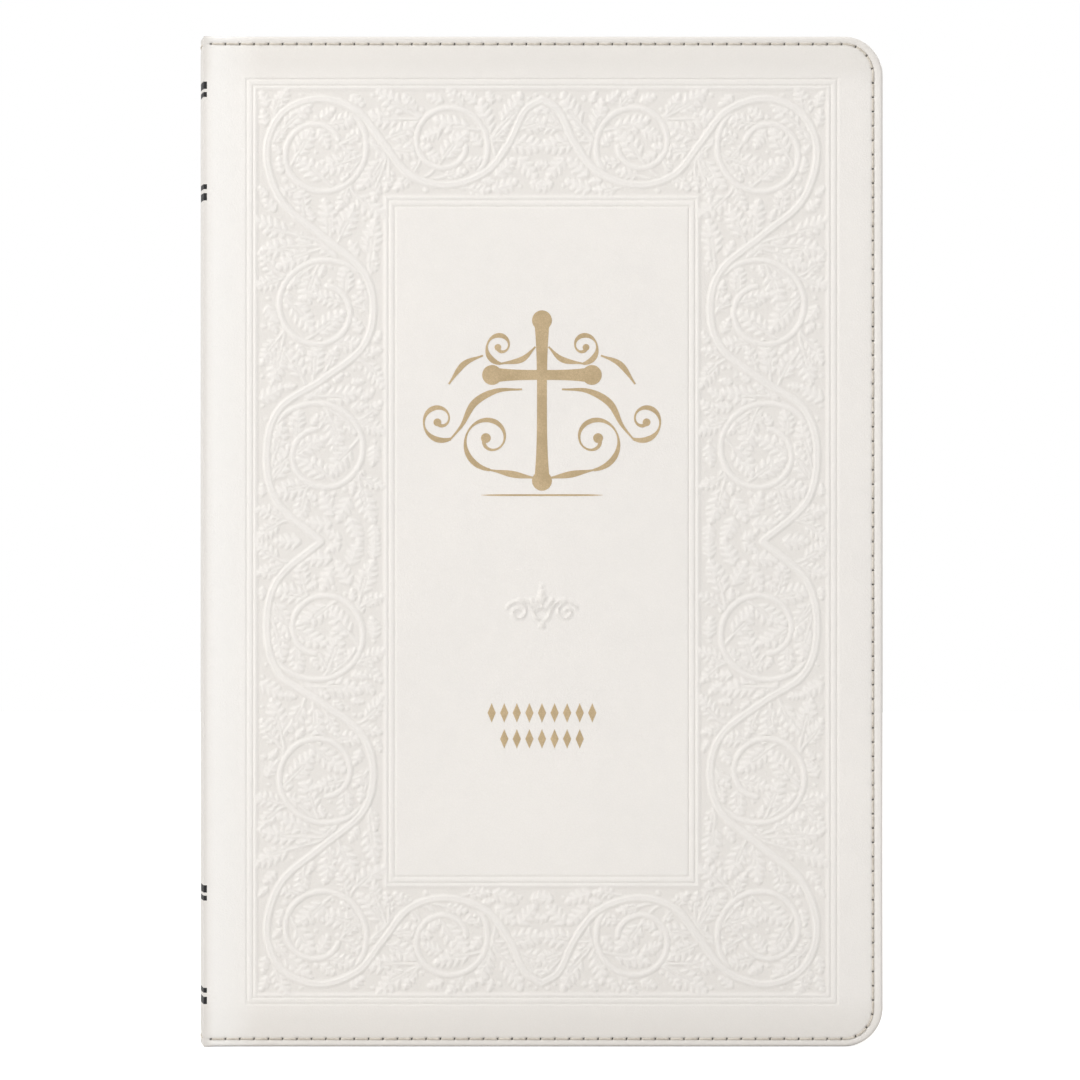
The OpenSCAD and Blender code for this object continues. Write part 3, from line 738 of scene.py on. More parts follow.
def border_canvas():
    """One quarter of the border, seen from its outer corner: a wandering stem with scrolls that curl off it,
    fans of thin stems that end in lobed leaves, smaller leaves filling the ground, and berries. The cover
    shows it mirrored both ways."""
    canvas = Canvas(FRAME_W / 2, FRAME_H / 2, 0.15)
    x, z = np.meshgrid(canvas.x, canvas.z)
    edge_in = LINE_GAP + 1.3
    allowed = (x > edge_in) & (z > edge_in)
    allowed &= (x < BORDER_SIDE - 1.6) | (z < BORDER_END - 1.6)
    wide = BORDER_SIDE / 2 + 0.8
    deep = BORDER_END / 2 + 0.8
    stem = along([
        (wide, FRAME_H / 2), (7.0, 97.5), (4.6, 86), (7.6, 76), (wide, 69.5), (26.6, 62), (29.2, 53),
        (26.6, 44), (wide, 36), (8.0, 28), (4.6, 17), (8.0, 8.0), (16.5, 4.5), (25.5, 7.4), (31.5, deep),
        (37.5, 22.0), (46.0, 24.4), (55.0, 21.5), (60.5, deep), (64.0, 7.5), (FRAME_W / 2, 4.7)])
    scrolls = [
        spiral((wide, 86), 35, 400, 12.4, 5.4),
        spiral((wide, 53), 35, 400, 12.4, 5.4, mirror_x=-1),
        spiral((16.6, 16.6), 130, 380, 12.0, 5.2),
        spiral((46, deep), 140, 390, 10.2, 4.6, mirror_z=-1),
    ]
    turns = [-1, 1, -1, 1]
    chance = np.random.default_rng(7)
    canvas.taken |= canvas.distance([stem], 1.2) < 0.8
    canvas.taken |= canvas.distance(scrolls, 0.9) < 0.5
    fans = []
    for scroll, turn in zip(scrolls, turns):
        for at in (0.10, 0.30, 0.50, 0.70, 0.90):
            fans += spray(scroll, at, turn, 3, 22, 21, 8.5 - 3 * at, chance)
        for at in (0.16, 0.36, 0.58):
            fans += spray(scroll, at, -turn, 2, 24, 24, 5.5, chance)
        fans += spray(scroll, 1.0, turn, 3, 12, 30, 3.5, chance)
    for k, at in enumerate(np.arange(0.03, 0.99, 0.048)):
        fans += spray(stem, at, 1 if k % 2 else -1, 5, 12, 13, 12.5, chance)
    leaf_length, leaf_width = 8.6, 4.9
    stems = []
    for line, turn in fans:
        inside = allowed[np.clip((line[:, 1] / canvas.step).astype(int), 0, len(canvas.z) - 1),
                         np.clip((line[:, 0] / canvas.step).astype(int), 0, len(canvas.x) - 1)]
        end = len(line) if inside.all() else int(np.argmin(inside))
        placed = False
        for size in (1.0, 0.8, 0.62):
            for back in (1.0, 0.8, 0.6, 0.42):
                i = int(end * back) - 1
                if i < 12 or placed:
                    continue
                shape = (line[i], turn[i], leaf_length * size, leaf_width * size, 5 if size > 0.7 else 4,
                         chance.uniform(-0.2, 0.2))
                if canvas.crowding(*shape, allowed) < 0.16:
                    canvas.leaf(*shape, 0.23)
                    ahead = np.array([math.cos(turn[i]), math.sin(turn[i])])
                    tip = line[i] + 0.45 * leaf_length * size * ahead
                    stems.append(evenly(np.vstack([line[:i], tip])))
                    placed = True
    every = np.vstack([stem, *scrolls, *stems])
    turn_of = np.concatenate([headings(p) for p in (stem, *scrolls, *stems)])
    for length, width, lobes in [(6.4, 3.9, 4), (5.0, 3.2, 4), (4.0, 2.6, 3), (3.0, 2.0, 3)]:
        for _ in range(1700):
            place = np.array([chance.uniform(2, FRAME_W / 2), chance.uniform(2, FRAME_H / 2)])
            if place[0] > BORDER_SIDE and place[1] > BORDER_END:
                continue
            nearest = np.argmin(((every - place) ** 2).sum(1))
            heading = turn_of[nearest] + chance.uniform(-0.8, 0.8)
            shape = (place, heading, length, width, lobes, chance.uniform(-0.25, 0.25))
            if canvas.crowding(*shape, allowed) < 0.05:
                canvas.leaf(*shape, 0.20)
    for _ in range(2600):
        place = np.array([chance.uniform(2, FRAME_W / 2), chance.uniform(2, FRAME_H / 2)])
        radius = chance.uniform(0.45, 0.75)
        found = canvas.window(place, radius)
        if found and not canvas.taken[found[0]].any() and allowed[found[0]].all():
            canvas.berry(place, radius, 0.20)
    canvas.stem(stems, 0.34, 0.2, moat=0.16)
    canvas.stem(scrolls, 0.62, 0.25, groove=0.07, moat=0.25)
    canvas.stem([stem], 0.85, 0.28, groove=0.12, moat=0.3)
    return canvas


def medallion_canvas():
    """Half of the small blind device under the gold: a scroll to each side, three upright leaves and two
    berries."""
    canvas = Canvas(9.5, 12.0, 0.1)
    scroll = spiral((5.6, 7.2), 20, 470, 2.6, 0.5, mirror_x=-1)
    lower = along([(0.0, 9.6), (1.4, 8.6), (2.2, 6.6), (3.6, 4.9), (5.4, 4.5)], 0.1)
    canvas.leaf((0.0, 6.6), -math.pi / 2, 4.6, 2.4, 3, 0.0, 0.22)
    canvas.leaf((0.6, 6.9), -1.0, 3.4, 1.7, 3, 0.1, 0.2)
    canvas.stem([scroll, lower], 0.34, 0.22, moat=0.1)
    canvas.berry((0.0, 10.4), 0.75, 0.24)
    canvas.berry((0.0, 1.2), 0.5, 0.2)
    return canvas


def line_groove(distance, depth=LINE_DEPTH, half=0.22):
    """Pressed line: a rounded groove, at a distance from its middle."""
    return depth * np.exp(-((distance / half) ** 2))


def frame_distance(x, z, inset):
    """Distance outwards of places from the frame's outer rectangle set in by inset; below 0 inside it."""
    return np.maximum(np.abs(x - MID_X) - (FRAME_W / 2 - inset[0]),
                      np.abs(z - MID_Z) - (FRAME_H / 2 - inset[1]))


BORDER = border_canvas()
MEDALLION = medallion_canvas()
MEDALLION_Z = COVER_H - 131.5
DEVICE_HALF_W, DEVICE_HALF_H = 9.4, 5.9


def front_depth(x, z):
    """Depth of the front cover's face and how hard it is pressed: two double-line frames, the sunk ground
    between them with the carved border standing on it, and the small blind device on the panel."""
    depth = np.zeros(np.broadcast(x, z).shape)
    for inset in ((0, 0), (LINE_GAP, LINE_GAP), (BORDER_SIDE, BORDER_END),
                  (BORDER_SIDE + LINE_GAP, BORDER_END + LINE_GAP)):
        depth = depth + line_groove(frame_distance(x, z, inset))
    lines = depth / LINE_DEPTH
    ground = smooth(-frame_distance(x, z, (LINE_GAP + 0.5, LINE_GAP + 0.5)) / 0.9)
    ground *= smooth(frame_distance(x, z, (BORDER_SIDE - 0.6, BORDER_END - 0.6)) / 0.9)
    carved = RELIEF * BORDER.at(FRAME_W / 2 - np.abs(x - MID_X), FRAME_H / 2 - np.abs(z - MID_Z))
    depth = depth + ground * (GROUND_DEPTH - carved)
    device = MEDALLION.at(np.abs(x - MID_X), np.clip(MEDALLION_Z + 6 - z, 0, 12))
    near = (np.abs(x - MID_X) < DEVICE_HALF_W) & (np.abs(z - MEDALLION_Z) < DEVICE_HALF_H)
    depth = depth - 1.5 * np.where(near, device, 0)
    pressed = np.clip(ground * (1 - carved / 0.2), 0, 1) * 0.8 + 0.3 * np.clip(lines, 0, 1)
    pressed = pressed + 0.6 * np.where(near, np.clip(device / 0.2, 0, 1), 0)
    return depth, np.clip(pressed, 0, 1)


def plain_depth(x, z):
    """Depth of the back cover's face: one double-line frame."""
    depth = sum(line_groove(frame_distance(x, z, inset)) for inset in ((0, 0), (LINE_GAP, LINE_GAP)))
    return depth, np.clip(0.3 * depth / LINE_DEPTH, 0, 1)


# ---------------------------------------------------------------- covers

def spaced(lo, hi, step, marks=(), fine=0.22):
    """Even values from lo to hi, with closer ones around marks."""
    values = list(np.linspace(lo, hi, max(int(round((hi - lo) / step)), 1) + 1))
    for mark in marks:
        values += [mark + k * fine for k in (-2, -1, 0, 1, 2) if lo < mark + k * fine < hi]
    values = np.unique(np.round(values, 4))
    keep = np.concatenate([[True], np.diff(values) > 0.06])
    keep[-1] = True
    return values[keep]


def face_block(name, xs, zs, face, side, body, back=LEATHER_T, inward=False):
    """Closed block of cover leather: its face is a grid at the depth that face() gives, its sides go straight
    to a flat back. inward is for a face that looks at the pages."""
    x, z = np.meshgrid(xs, zs, indexing="ij")
    depth, pressed = face(x, z)
    rows, columns = x.shape
    top = in_place(x, depth, z, side).reshape(-1, 3)
    numbers = np.arange(rows * columns).reshape(rows, columns)
    rim = np.concatenate([numbers[:-1, 0], numbers[-1, :-1], numbers[:0:-1, -1], numbers[0, :0:-1]])
    under = in_place(x.ravel()[rim], np.full(len(rim), back), z.ravel()[rim], side)
    n, first = len(rim), rows * columns
    low = first + np.arange(n)
    skirt = np.stack([rim, low, np.roll(low, -1), np.roll(rim, -1)], axis=-1)
    faces = np.vstack([quads(rows, columns), skirt])
    values = np.concatenate([pressed.ravel(), np.zeros(n)])
    return solid(name, np.vstack([top, under]), faces, LEATHER, body,
                 flip=(side > 0) != inward, caps=[low[::-1].tolist()], attributes={"pressed": values})


def edge_path():
    """Path around a cover from its hinge line along the tail, the fore edge and the head: the point CORNER_R
    inside the edge, the way out, and the length run along the stitch line."""
    r = CORNER_R
    run = np.linspace(0, 1, int((COVER_W - r) / 0.36) + 1)
    rise = np.linspace(0, 1, int((COVER_H - 2 * r) / 0.36) + 1)
    turn = np.radians(np.linspace(0, 90, 37))
    x_in, z_hi = COVER_W - r, COVER_H - r
    parts = [
        (run * x_in, r + 0 * run, 0 * run, -1 + 0 * run),
        (x_in + 0 * turn, r + 0 * turn, np.sin(turn), -np.cos(turn)),
        (x_in + 0 * rise, r + rise * (z_hi - r), 1 + 0 * rise, 0 * rise),
        (x_in + 0 * turn, z_hi + 0 * turn, np.cos(turn), np.sin(turn)),
        ((1 - run) * x_in, z_hi + 0 * run, 0 * run, 1 + 0 * run),
    ]
    path = np.concatenate([np.stack(p, axis=-1)[(1 if k else 0):] for k, p in enumerate(parts)])
    base, out = path[:, :2], path[:, 2:]
    inset = STITCH_END + (STITCH_SIDE - STITCH_END) * out[:, 0] ** 2
    seam = base + (r - inset)[:, None] * out
    length = np.concatenate([[0], np.cumsum(np.hypot(*np.diff(seam, axis=0).T))])
    return base, out, inset, seam, length


EDGE_BASE, EDGE_OUT, EDGE_INSET, SEAM, SEAM_LENGTH = edge_path()
STITCH_COUNT = int(round(SEAM_LENGTH[-1] / STITCH_PITCH))
HOLES = (np.arange(STITCH_COUNT) + 0.5) * SEAM_LENGTH[-1] / STITCH_COUNT


def hole_shape(run, off, holes, radius=0.33):
    """1 at the middle of a needle hole and 0 away from it, for a length run and a distance off the seam."""
    nearest = np.abs(run[..., None] - holes).min(axis=-1)
    return np.exp(-(nearest ** 2 + off ** 2) / radius ** 2)


def seam_dip(off):
    """Depth of leather beside a seam: a narrow channel in a broad pulled-down band."""
    return 0.12 * np.exp(-((off / 0.40) ** 2)) + 0.12 * np.exp(-((off / 1.5) ** 2))


def cover_edge(side, body):
    """Turned-in edge of a cover: a closed profile carried around the edge path. From the face it dips into
    the stitch channel, rolls round the edge, dips again inside and ends under the lining's rim."""
    n = len(EDGE_BASE)
    offs = np.array([6.4, 4.4, 3.0, 2.2, 1.6, 1.2, 0.9, 0.68, 0.5, 0.34, 0.17, 0.0,
                     -0.17, -0.34, -0.5, -0.68])      # columns, by their distance inside the seam
    roll = np.radians(np.linspace(8, 172, 12))
    rim = 0.85                                        # width of the edge's roll
    half = COVER_T / 2
    far = 9.0                                         # off the seam, past the reach of its dip and holes
    stitch = EDGE_INSET[:, None]
    outer = np.clip(stitch + offs[None, :], 0, CORNER_R)
    outer[:, 0] = CORNER_R
    inner = np.clip(stitch + offs[None, ::-1], 0, CORNER_R)
    inner[:, -1] = CORNER_R
    edge_d = rim * (1 - np.sin(roll) ** 0.75)[None, :]
    edge_y = (half - (half - 0.03) * np.sign(np.cos(roll)) * np.abs(np.cos(roll)) ** 0.8)[None, :]
    tail = np.array([(TURN_IN, COVER_T - 0.02), (TURN_IN, COVER_T - LINING_T), (CORNER_R, COVER_T - LINING_T),
                     (4.0, COVER_T - 0.62), (1.5, COVER_T - 0.7), (1.1, COVER_T - 0.9),
                     (1.1, 0.95), (1.5, 0.75), (4.0, 0.72), (CORNER_R, LEATHER_T)]).T[:, None]
    # Inset from the edge, depth, distance off the seam, and how the holes there are pressed
    stretches = [(outer, seam_dip(outer - stitch) * (outer < CORNER_R - 0.1), outer - stitch, 1.0),
                 (edge_d, edge_y, edge_d + far, 0.0),
                 (inner, COVER_T - 0.8 * seam_dip(inner - stitch) * (inner < CORNER_R - 0.1),
                  inner - stitch, -0.5),
                 (*tail, tail[0] + far, 0.0)]
    inset, depth, seam_off = (
        np.hstack([np.broadcast_to(part[k], (n, part[k].shape[-1])) for part in stretches]) for k in range(3))
    way = np.concatenate([np.full(part[0].shape[-1], part[3]) for part in stretches])[None, :]
    run = np.broadcast_to(SEAM_LENGTH[:, None], inset.shape)
    holes = hole_shape(run, np.where(way == 0, far, seam_off), HOLES)
    depth = depth + 0.45 * way * holes
    places = EDGE_BASE[:, None, :] + (CORNER_R - inset)[..., None] * EDGE_OUT[:, None, :]
    lined = np.stack([np.clip(EDGE_BASE[:, 0], 0, COVER_W - TURN_IN),
                      np.clip(EDGE_BASE[:, 1], TURN_IN, COVER_H - TURN_IN)], axis=-1)
    places = np.where((inset > CORNER_R + 0.5)[..., None], lined[:, None, :], places)
    points = in_place(places[..., 0], depth, places[..., 1], side)
    m = inset.shape[1]
    rubbed = np.exp(-((inset - 0.2) / 0.5) ** 2) * (depth < half)
    # the hole attribute carries painted shade that darkens the needle holes in the leather's colour
    solid(f"{body}_edge", points, quads(n, m, closed=True), LEATHER, body,
          flip=side < 0, caps=end_rings(n, m), merge=True,
          attributes={"rubbed": rubbed.ravel(), "hole": (holes ** 1.5).ravel(),
                      "pressed": 0.25 * np.exp(-((seam_off / 0.4) ** 2)).ravel()})


def threads(name, centres, lift, body, replaces, radius=THREAD_R, bend=None):
    """Stitches as twisted threads: centres is stitches x rings x 3, lift the direction out of the leather.
    A round section swells in two plies that turn 9 radians along the stitch, and narrows at both ends."""
    count, rings, _ = centres.shape
    sides = 10
    along_it = np.gradient(centres, axis=1)
    along_it /= np.linalg.norm(along_it, axis=-1, keepdims=True)
    across = np.cross(along_it, lift)
    across /= np.linalg.norm(across, axis=-1, keepdims=True)
    up = np.cross(across, along_it)
    angle = np.linspace(0, 2 * math.pi, sides, endpoint=False)
    t = np.linspace(0, 1, rings)
    plies = 1 + 0.13 * np.cos(2 * angle[None, :] - 9.0 * t[:, None])
    taper = np.clip(np.sin(math.pi * t) * 6, 0.35, 1.0)
    r = radius * plies * taper[:, None]
    points = (centres[:, :, None, :]
              + (r * np.cos(angle))[None, :, :, None] * across[:, :, None, :]
              + (r * np.sin(angle))[None, :, :, None] * up[:, :, None, :])
    one = quads(rings, sides, closed=True)
    firsts = np.arange(count) * rings * sides
    faces = (one[None] + firsts[:, None, None]).reshape(-1, 4)
    caps = [ring for first in firsts for ring in end_rings(rings, sides, int(first))]
    solid(name, points, faces, THREAD, body, replaces, caps=caps, bend=bend)


def cover_stitches(side, body, node):
    """Both faces of the cover's stitching: each stitch spans two needle holes and sinks into them."""
    rings = 13
    t = np.linspace(0.04, 0.96, rings)
    at = HOLES[:-1, None] + (HOLES[1:] - HOLES[:-1])[:, None] * t[None, :]
    x = np.interp(at, SEAM_LENGTH, SEAM[:, 0])
    z = np.interp(at, SEAM_LENGTH, SEAM[:, 1])
    dive = 0.34 * np.abs(2 * t - 1) ** 5
    outer = in_place(x, 0.14 + dive[None, :] + 0 * x, z, side)
    threads(f"{node}_outside", outer, np.array([0.0, side, 0.0]), body, (node,))
    inner = in_place(x, COVER_T - 0.1 - dive[None, :] + 0 * x, z, side)
    threads(f"{node}_inside", inner, np.array([0.0, -side, 0.0]), body, ())


def make_cover(side, body, node, decorated):
    """The leather of one cover's faces. On the front, the border and the panel are separate pieces that meet
    just outside the border's inner line."""
    x_far, z_far = COVER_W - CORNER_R, COVER_H - CORNER_R
    past = 0.7                                        # how far outside that line they meet
    carved, panel, plain, joint = 0.285, 0.42, 1.2, (0.35, 2.0)       # steps of the grids

    def two_lines(low, high):
        """Places of a double line's middles at both ends."""
        return [low, low + LINE_GAP, high, high - LINE_GAP]
    marks_x = two_lines(FRAME_SPINE, COVER_W - FRAME_SIDE)
    marks_z = two_lines(FRAME_END, COVER_H - FRAME_END)
    if decorated:
        seam_x = [FRAME_SPINE + BORDER_SIDE - past, COVER_W - FRAME_SIDE - BORDER_SIDE + past]
        seam_z = [FRAME_END + BORDER_END - past, COVER_H - FRAME_END - BORDER_END + past]
        sides_z = spaced(CORNER_R, z_far, carved, marks_z)
        ends_x = spaced(*seam_x, carved)
        for label, xs, zs in (("spine_side", spaced(CORNER_R, seam_x[0], carved, marks_x), sides_z),
                              ("fore_side", spaced(seam_x[1], x_far, carved, marks_x), sides_z),
                              ("tail", ends_x, spaced(CORNER_R, seam_z[0], carved, marks_z)),
                              ("head", ends_x, spaced(seam_z[1], z_far, carved, marks_z))):
            face_block(f"{body}_border_{label}", xs, zs, front_depth, side, body)
        xs = spaced(*seam_x, panel, two_lines(seam_x[0] + past, seam_x[1] - past))
        zs = spaced(*seam_z, panel, two_lines(seam_z[0] + past, seam_z[1] - past))
    else:
        xs, zs = spaced(CORNER_R, x_far, plain, marks_x), spaced(CORNER_R, z_far, plain, marks_z)
    main = face_block(f"{body}_panel", xs, zs, front_depth if decorated else plain_depth, side, body)
    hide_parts(node)
    face_block(f"{body}_joint_outside", spaced(0, CORNER_R, joint[0]), spaced(CORNER_R, z_far, joint[1]),
               lambda x, z: (0 * x, 0 * x), side, body)
    face_block(f"{body}_joint_inside", spaced(0, LINING_X, joint[0]),
               spaced(TURN_IN, COVER_H - TURN_IN, joint[1]), lambda x, z: (COVER_T + 0 * x, 0 * x), side,
               body, COVER_T - LINING_T, inward=True)


for side, body, node in ((-1, "front_cover", "front"), (1, "back_cover", "back")):
    make_cover(side, body, node + "_leather", side < 0)
    cover_edge(side, body)
    cover_stitches(side, body, node + "_stitching")


# ---------------------------------------------------------------- gold device

# Heights of the cross's middle, the rule and the middle between the two rows of lozenges
CROSS_Z, RULE_Z, ROWS_Z = COVER_H - 84.0, COVER_H - 105.8, COVER_H - 159.0
FOIL_TOP, FOIL_UNDER = -0.035, 0.03        # depths in the cover of the foil's two faces


def stroke(path, width, lift=0.0):
    """Flat strip of foil along a path of places (across from the panel's middle, up): width() gives its
    width at each share of the path. Five columns, crowned a little, over a flat underside of three."""
    t = np.linspace(0, 1, len(path))
    way = np.gradient(path, axis=0)
    way /= np.linalg.norm(way, axis=1, keepdims=True)
    out = np.stack([-way[:, 1], way[:, 0]], axis=1)
    half = np.maximum(width(t) / 2, 0.03)[:, None]
    shares = np.array([-1.0, -0.6, 0.0, 0.6, 1.0, 1.0, 0.0, -1.0])
    depth = np.array([0.0, -0.008, -0.012, -0.008, 0.0, 0.0, 0.0, 0.0]) + FOIL_TOP - lift
    depth[5:] = FOIL_UNDER
    places = path[:, None, :] + (half * shares)[..., None] * out[:, None, :]
    points = in_place(MID_X + places[..., 0], np.broadcast_to(depth, places.shape[:2]), places[..., 1], -1)
    rows, columns = places.shape[:2]
    faces = quads(rows, columns, closed=True)
    ends = []
    for row, turn in ((0, 1), (rows - 1, -1)):
        ring = row * columns + np.array([[0, 1, 6, 7], [1, 2, 5, 6], [2, 3, 4, 5]])
        ends.append(ring[:, ::turn])
    return points.reshape(-1, 3), np.vstack([faces, *ends])


def disc(place, radius):
    """Round spot of foil, as a short stroke whose width follows a circle."""
    t = np.linspace(0, 1, 15)
    path = np.stack([place[0] + radius * np.cos(math.pi * (1 - t)), place[1] + 0 * t], axis=1)
    return stroke(path, lambda u: 2 * radius * np.sin(math.pi * u), 0.006)


def pen(thick, thin, lean):
    """Width of a pen stroke on a scroll: from thin to thick and back as the stroke turns."""
    return lambda t: thin + (thick - thin) * np.sin(2.3 * math.pi * t + lean) ** 2 * (1 - 0.45 * t)


def gold_device():
    """Plain cross with scrolls, a rule, and two rows of upright lozenges."""
    line = lambda a, b, n=40: np.linspace(np.array(a, float), np.array(b, float), n)
    flared = lambda t: 2.3 + 1.3 * np.abs(2 * t - 1) ** 3
    parts = [stroke(line((0, CROSS_Z - 18.5), (0, CROSS_Z + 18.5)), flared),
             stroke(line((-11.5, CROSS_Z + 5.9), (11.5, CROSS_Z + 5.9)), flared, 0.004)]
    for place in ((0, 18.5), (0, -18.5), (11.5, 5.9), (-11.5, 5.9)):
        parts.append(disc((place[0], CROSS_Z + place[1]), 2.3))
    curls = (((12.0, -9.0), 7.0, 1.0, -90, 470), ((23.5, -4.5), 5.0, 0.8, -120, 440),
             ((9.5, 12.5), 4.0, 0.7, -90, 430))
    tails = ((((1.4, -17.9), (5.6, -17.2), (12.0, -16.0)), 1.1),
             (((4.6, 2.6), (10.6, 2.2), (15.6, -0.6), (18.4, -5.6), (21.0, -8.83)), 1.2),
             (((1.5, 12.4), (4.6, 9.5), (9.5, 8.5)), 0.9),
             (((13.6, 10.4), (18.0, 8.4), (21.5, 3.8)), 0.9))
    for way in (-1, 1):
        at = lambda path: np.stack([way * path[:, 0], CROSS_Z + path[:, 1]], axis=1)
        for centre, r0, r1, start, turn in curls:
            curl = spiral(centre, start, turn, r0, r1, -1, -1)
            parts.append(stroke(at(curl), pen(1.35, 0.42, 0.5), 0.008))
            parts.append(disc(at(curl[-1:])[0], 0.3 + 0.12 * r0))
        for tail, thick in tails:
            swelling = lambda t: 0.42 + thick * np.sin(math.pi * t) ** 2
            parts.append(stroke(at(along(tail, 0.25)), swelling, 0.012))
    parts.append(stroke(line((-14, RULE_Z), (14, RULE_Z)), lambda t: 0.42 * (1 - np.abs(2 * t - 1) ** 8)))
    for count, up in ((9, 3.0), (7, -3.0)):
        for x in 2.9 * (np.arange(count) - (count - 1) / 2):
            path = line((x, ROWS_Z + up - 2.2), (x, ROWS_Z + up + 2.2), 13)
            parts.append(stroke(path, lambda t: 1.9 * (1 - np.abs(2 * t - 1))))
    points, faces = join(parts)
    solid("gold_device", points, faces, GOLD, "front_cover", ("front_gold_foil",))


gold_device()


# ---------------------------------------------------------------- spine

SPINE_TURN_T = 1.15        # thickness where the leather is turned in at head and tail
SPINE_ROUND = 0.6          # radius of the turn
CARD_LOW, CARD_HIGH = low_high("spine_card")


def on_spine(y, depth, z):
    """Points of the spine at a distance y from the middle: its outside bulges by 1 - |y / half|^2.3, and its
    thickness falls to EDGE_THIN at the hinge lines."""
    t = np.clip(np.abs(y) / HINGE_Y, 1e-6, 1)
    slope = SPINE_OUT * 2.3 * t ** 1.3 / HINGE_Y * np.sign(y)
    size = np.hypot(1, slope)
    k = EDGE_THIN / COVER_T + (1 - EDGE_THIN / COVER_T) * smooth((HINGE_Y - np.abs(y)) / JOINT_W)
    x = HINGE_X - SPINE_OUT * (1 - t ** 2.3) + depth * k / size
    return np.stack([x, y - depth * k * slope / size, z + 0 * x], axis=-1)


def make_spine():
    """Spine leather: a closed profile from tail to head and back down the inside, carried across the spine.
    Stitch channels run by both ends, and a shallow pressed band lies under each strip of foil."""
    seams = (STITCH_END, COVER_H - STITCH_END)
    edges = [z + d for z, h in BANDS for d in (0, h)]
    up = spaced(SPINE_ROUND, COVER_H - SPINE_ROUND, 0.9, [*seams, *edges], 0.16)
    off = np.abs(up[:, None] - np.array(seams)).min(axis=1)
    face = seam_dip(off)
    for z, h in BANDS:
        face = face + 0.12 * smooth((h / 2 + 0.12 - np.abs(up - z - h / 2)) / 0.2)
    turn = np.radians(np.linspace(12, 168, 10))
    head = np.stack([COVER_H - SPINE_ROUND + SPINE_ROUND * np.sin(turn),
                     SPINE_TURN_T / 2 * (1 - np.cos(turn))], 1)
    inner = np.array([(COVER_H - SPINE_ROUND, SPINE_TURN_T), (CARD_HIGH[2] + 0.3, SPINE_TURN_T),
                      (CARD_HIGH[2] + 0.1, LEATHER_T), (COVER_H / 2, LEATHER_T),
                      (CARD_LOW[2] - 0.1, LEATHER_T), (CARD_LOW[2] - 0.3, SPINE_TURN_T),
                      (SPINE_ROUND, SPINE_TURN_T)])
    tail = np.stack([SPINE_ROUND - SPINE_ROUND * np.sin(turn), SPINE_TURN_T / 2 * (1 + np.cos(turn))], 1)
    profile = np.vstack([np.stack([up, face], 1), head, inner, tail])
    y = np.linspace(-HINGE_Y, HINGE_Y, 118)
    across, z = np.meshgrid(y, profile[:, 0], indexing="ij")
    depth = np.broadcast_to(profile[:, 1], z.shape).copy()
    n = len(up)
    holes = hole_shape(across[:, :n], off[None, :] + 0 * across[:, :n], SPINE_HOLES)
    depth[:, :n] += 0.4 * holes
    # painted shade for the needle holes, carried to the leather by the hole attribute
    dark = np.zeros(depth.shape)
    dark[:, :n] = holes ** 1.5
    m = len(profile)
    rubbed = np.exp(-((depth - 0.2) / 0.25) ** 2) * ((z < 0.7) | (z > COVER_H - 0.7))
    solid("spine_leather_cover", on_spine(across, depth, z), quads(len(y), m, closed=True), LEATHER,
          "spine", ("spine_leather",), flip=True, caps=end_rings(len(y), m),
          attributes={"rubbed": rubbed.ravel(), "hole": dark.ravel()})
    chance = np.random.default_rng(3)
    strips = []
    for z0, h in BANDS:
        phase = chance.uniform(0, 6, 4)

        def strip(s, v, w):
            """Share s across the spine, v through the foil and w up it, with slightly uneven edges."""
            y = (2 * s - 1) * HINGE_Y
            ragged = 0.025 * np.sin(2.1 * y + phase[0]) + 0.02 * np.sin(5.3 * y + phase[1])
            return on_spine(y, 0.06 + 0.08 * v, z0 + h * w + ragged * (2 * w - 1))
        strips.append(boxed(strip, np.linspace(0, 1, 90), THROUGH, np.linspace(0, 1, 3))[:2])
    points, faces = join(strips)
    solid("spine_black_bands", points, faces, BLACK, "spine", ("spine_black_foil",), merge=True,
          flip=True)
    t = np.linspace(0.04, 0.96, 11)
    at = SPINE_HOLES[:-1, None] + np.diff(SPINE_HOLES)[:, None] * t
    at = np.vstack([at, at])
    z = np.repeat(seams, len(SPINE_HOLES) - 1)[:, None] + 0 * at
    dive = 0.3 * np.abs(2 * t - 1) ** 5
    threads("spine_stitches", on_spine(at, 0.14 + dive + 0 * at, z), np.array([-1.0, 0, 0]), "spine",
            ("spine_stitching",))


SPINE_SEAM = low_high("spine_stitching")[1][1]
SPINE_HOLES = np.linspace(-SPINE_SEAM, SPINE_SEAM, int(round(2 * SPINE_SEAM / STITCH_PITCH)) + 1)
make_spine()


# ---------------------------------------------------------------- pages

BACK_R = 74.2              # radius of the pages' back
HOLLOW = 1.47              # depth of the hollow in the fore edge
PAGE_CORNER_R = 7.0
SECTIONS = 12              # folded sections in one half
PAGES_H = PAGES_HIGH[2] - PAGES_LOW[2]
BEND = (-46.0, -74.5)      # two X values passed on as bend


def page_edges(x, z_share):
    """Height of a place on a page at x, for a share of the page's height there: both fore-edge corners are
    quarter circles."""
    past = np.clip(x - (PAGES_HIGH[0] - PAGE_CORNER_R), 0, PAGE_CORNER_R)
    cut = PAGE_CORNER_R - np.sqrt(np.maximum(PAGE_CORNER_R ** 2 - past ** 2, 0))
    return PAGES_LOW[2] + cut + z_share * (PAGES_H - 2 * cut)


def beyond_ribbon(x, z):
    """0 where the swinging ribbon can reach and 1 from 5 mm past that: beyond its length from the pivot, or
    past the line of its furthest swing."""
    swing = JOINTS["ribbon_swing"]
    (pivot_x, _, pivot_z), far = np.array(swing["pos_m"]) / MM, math.radians(swing["range_deg"][1])
    (low_x, _, low_z), (high_x, _, _) = low_high("ribbon_marker")
    across, down = x - pivot_x, pivot_z - z
    past_foot = np.hypot(across, down) - (pivot_z - low_z)
    past_side = across * math.cos(far) - down * math.sin(far) - (high_x - low_x) / 2
    return smooth((np.maximum(past_foot, past_side) - 1.2) / 3.8)


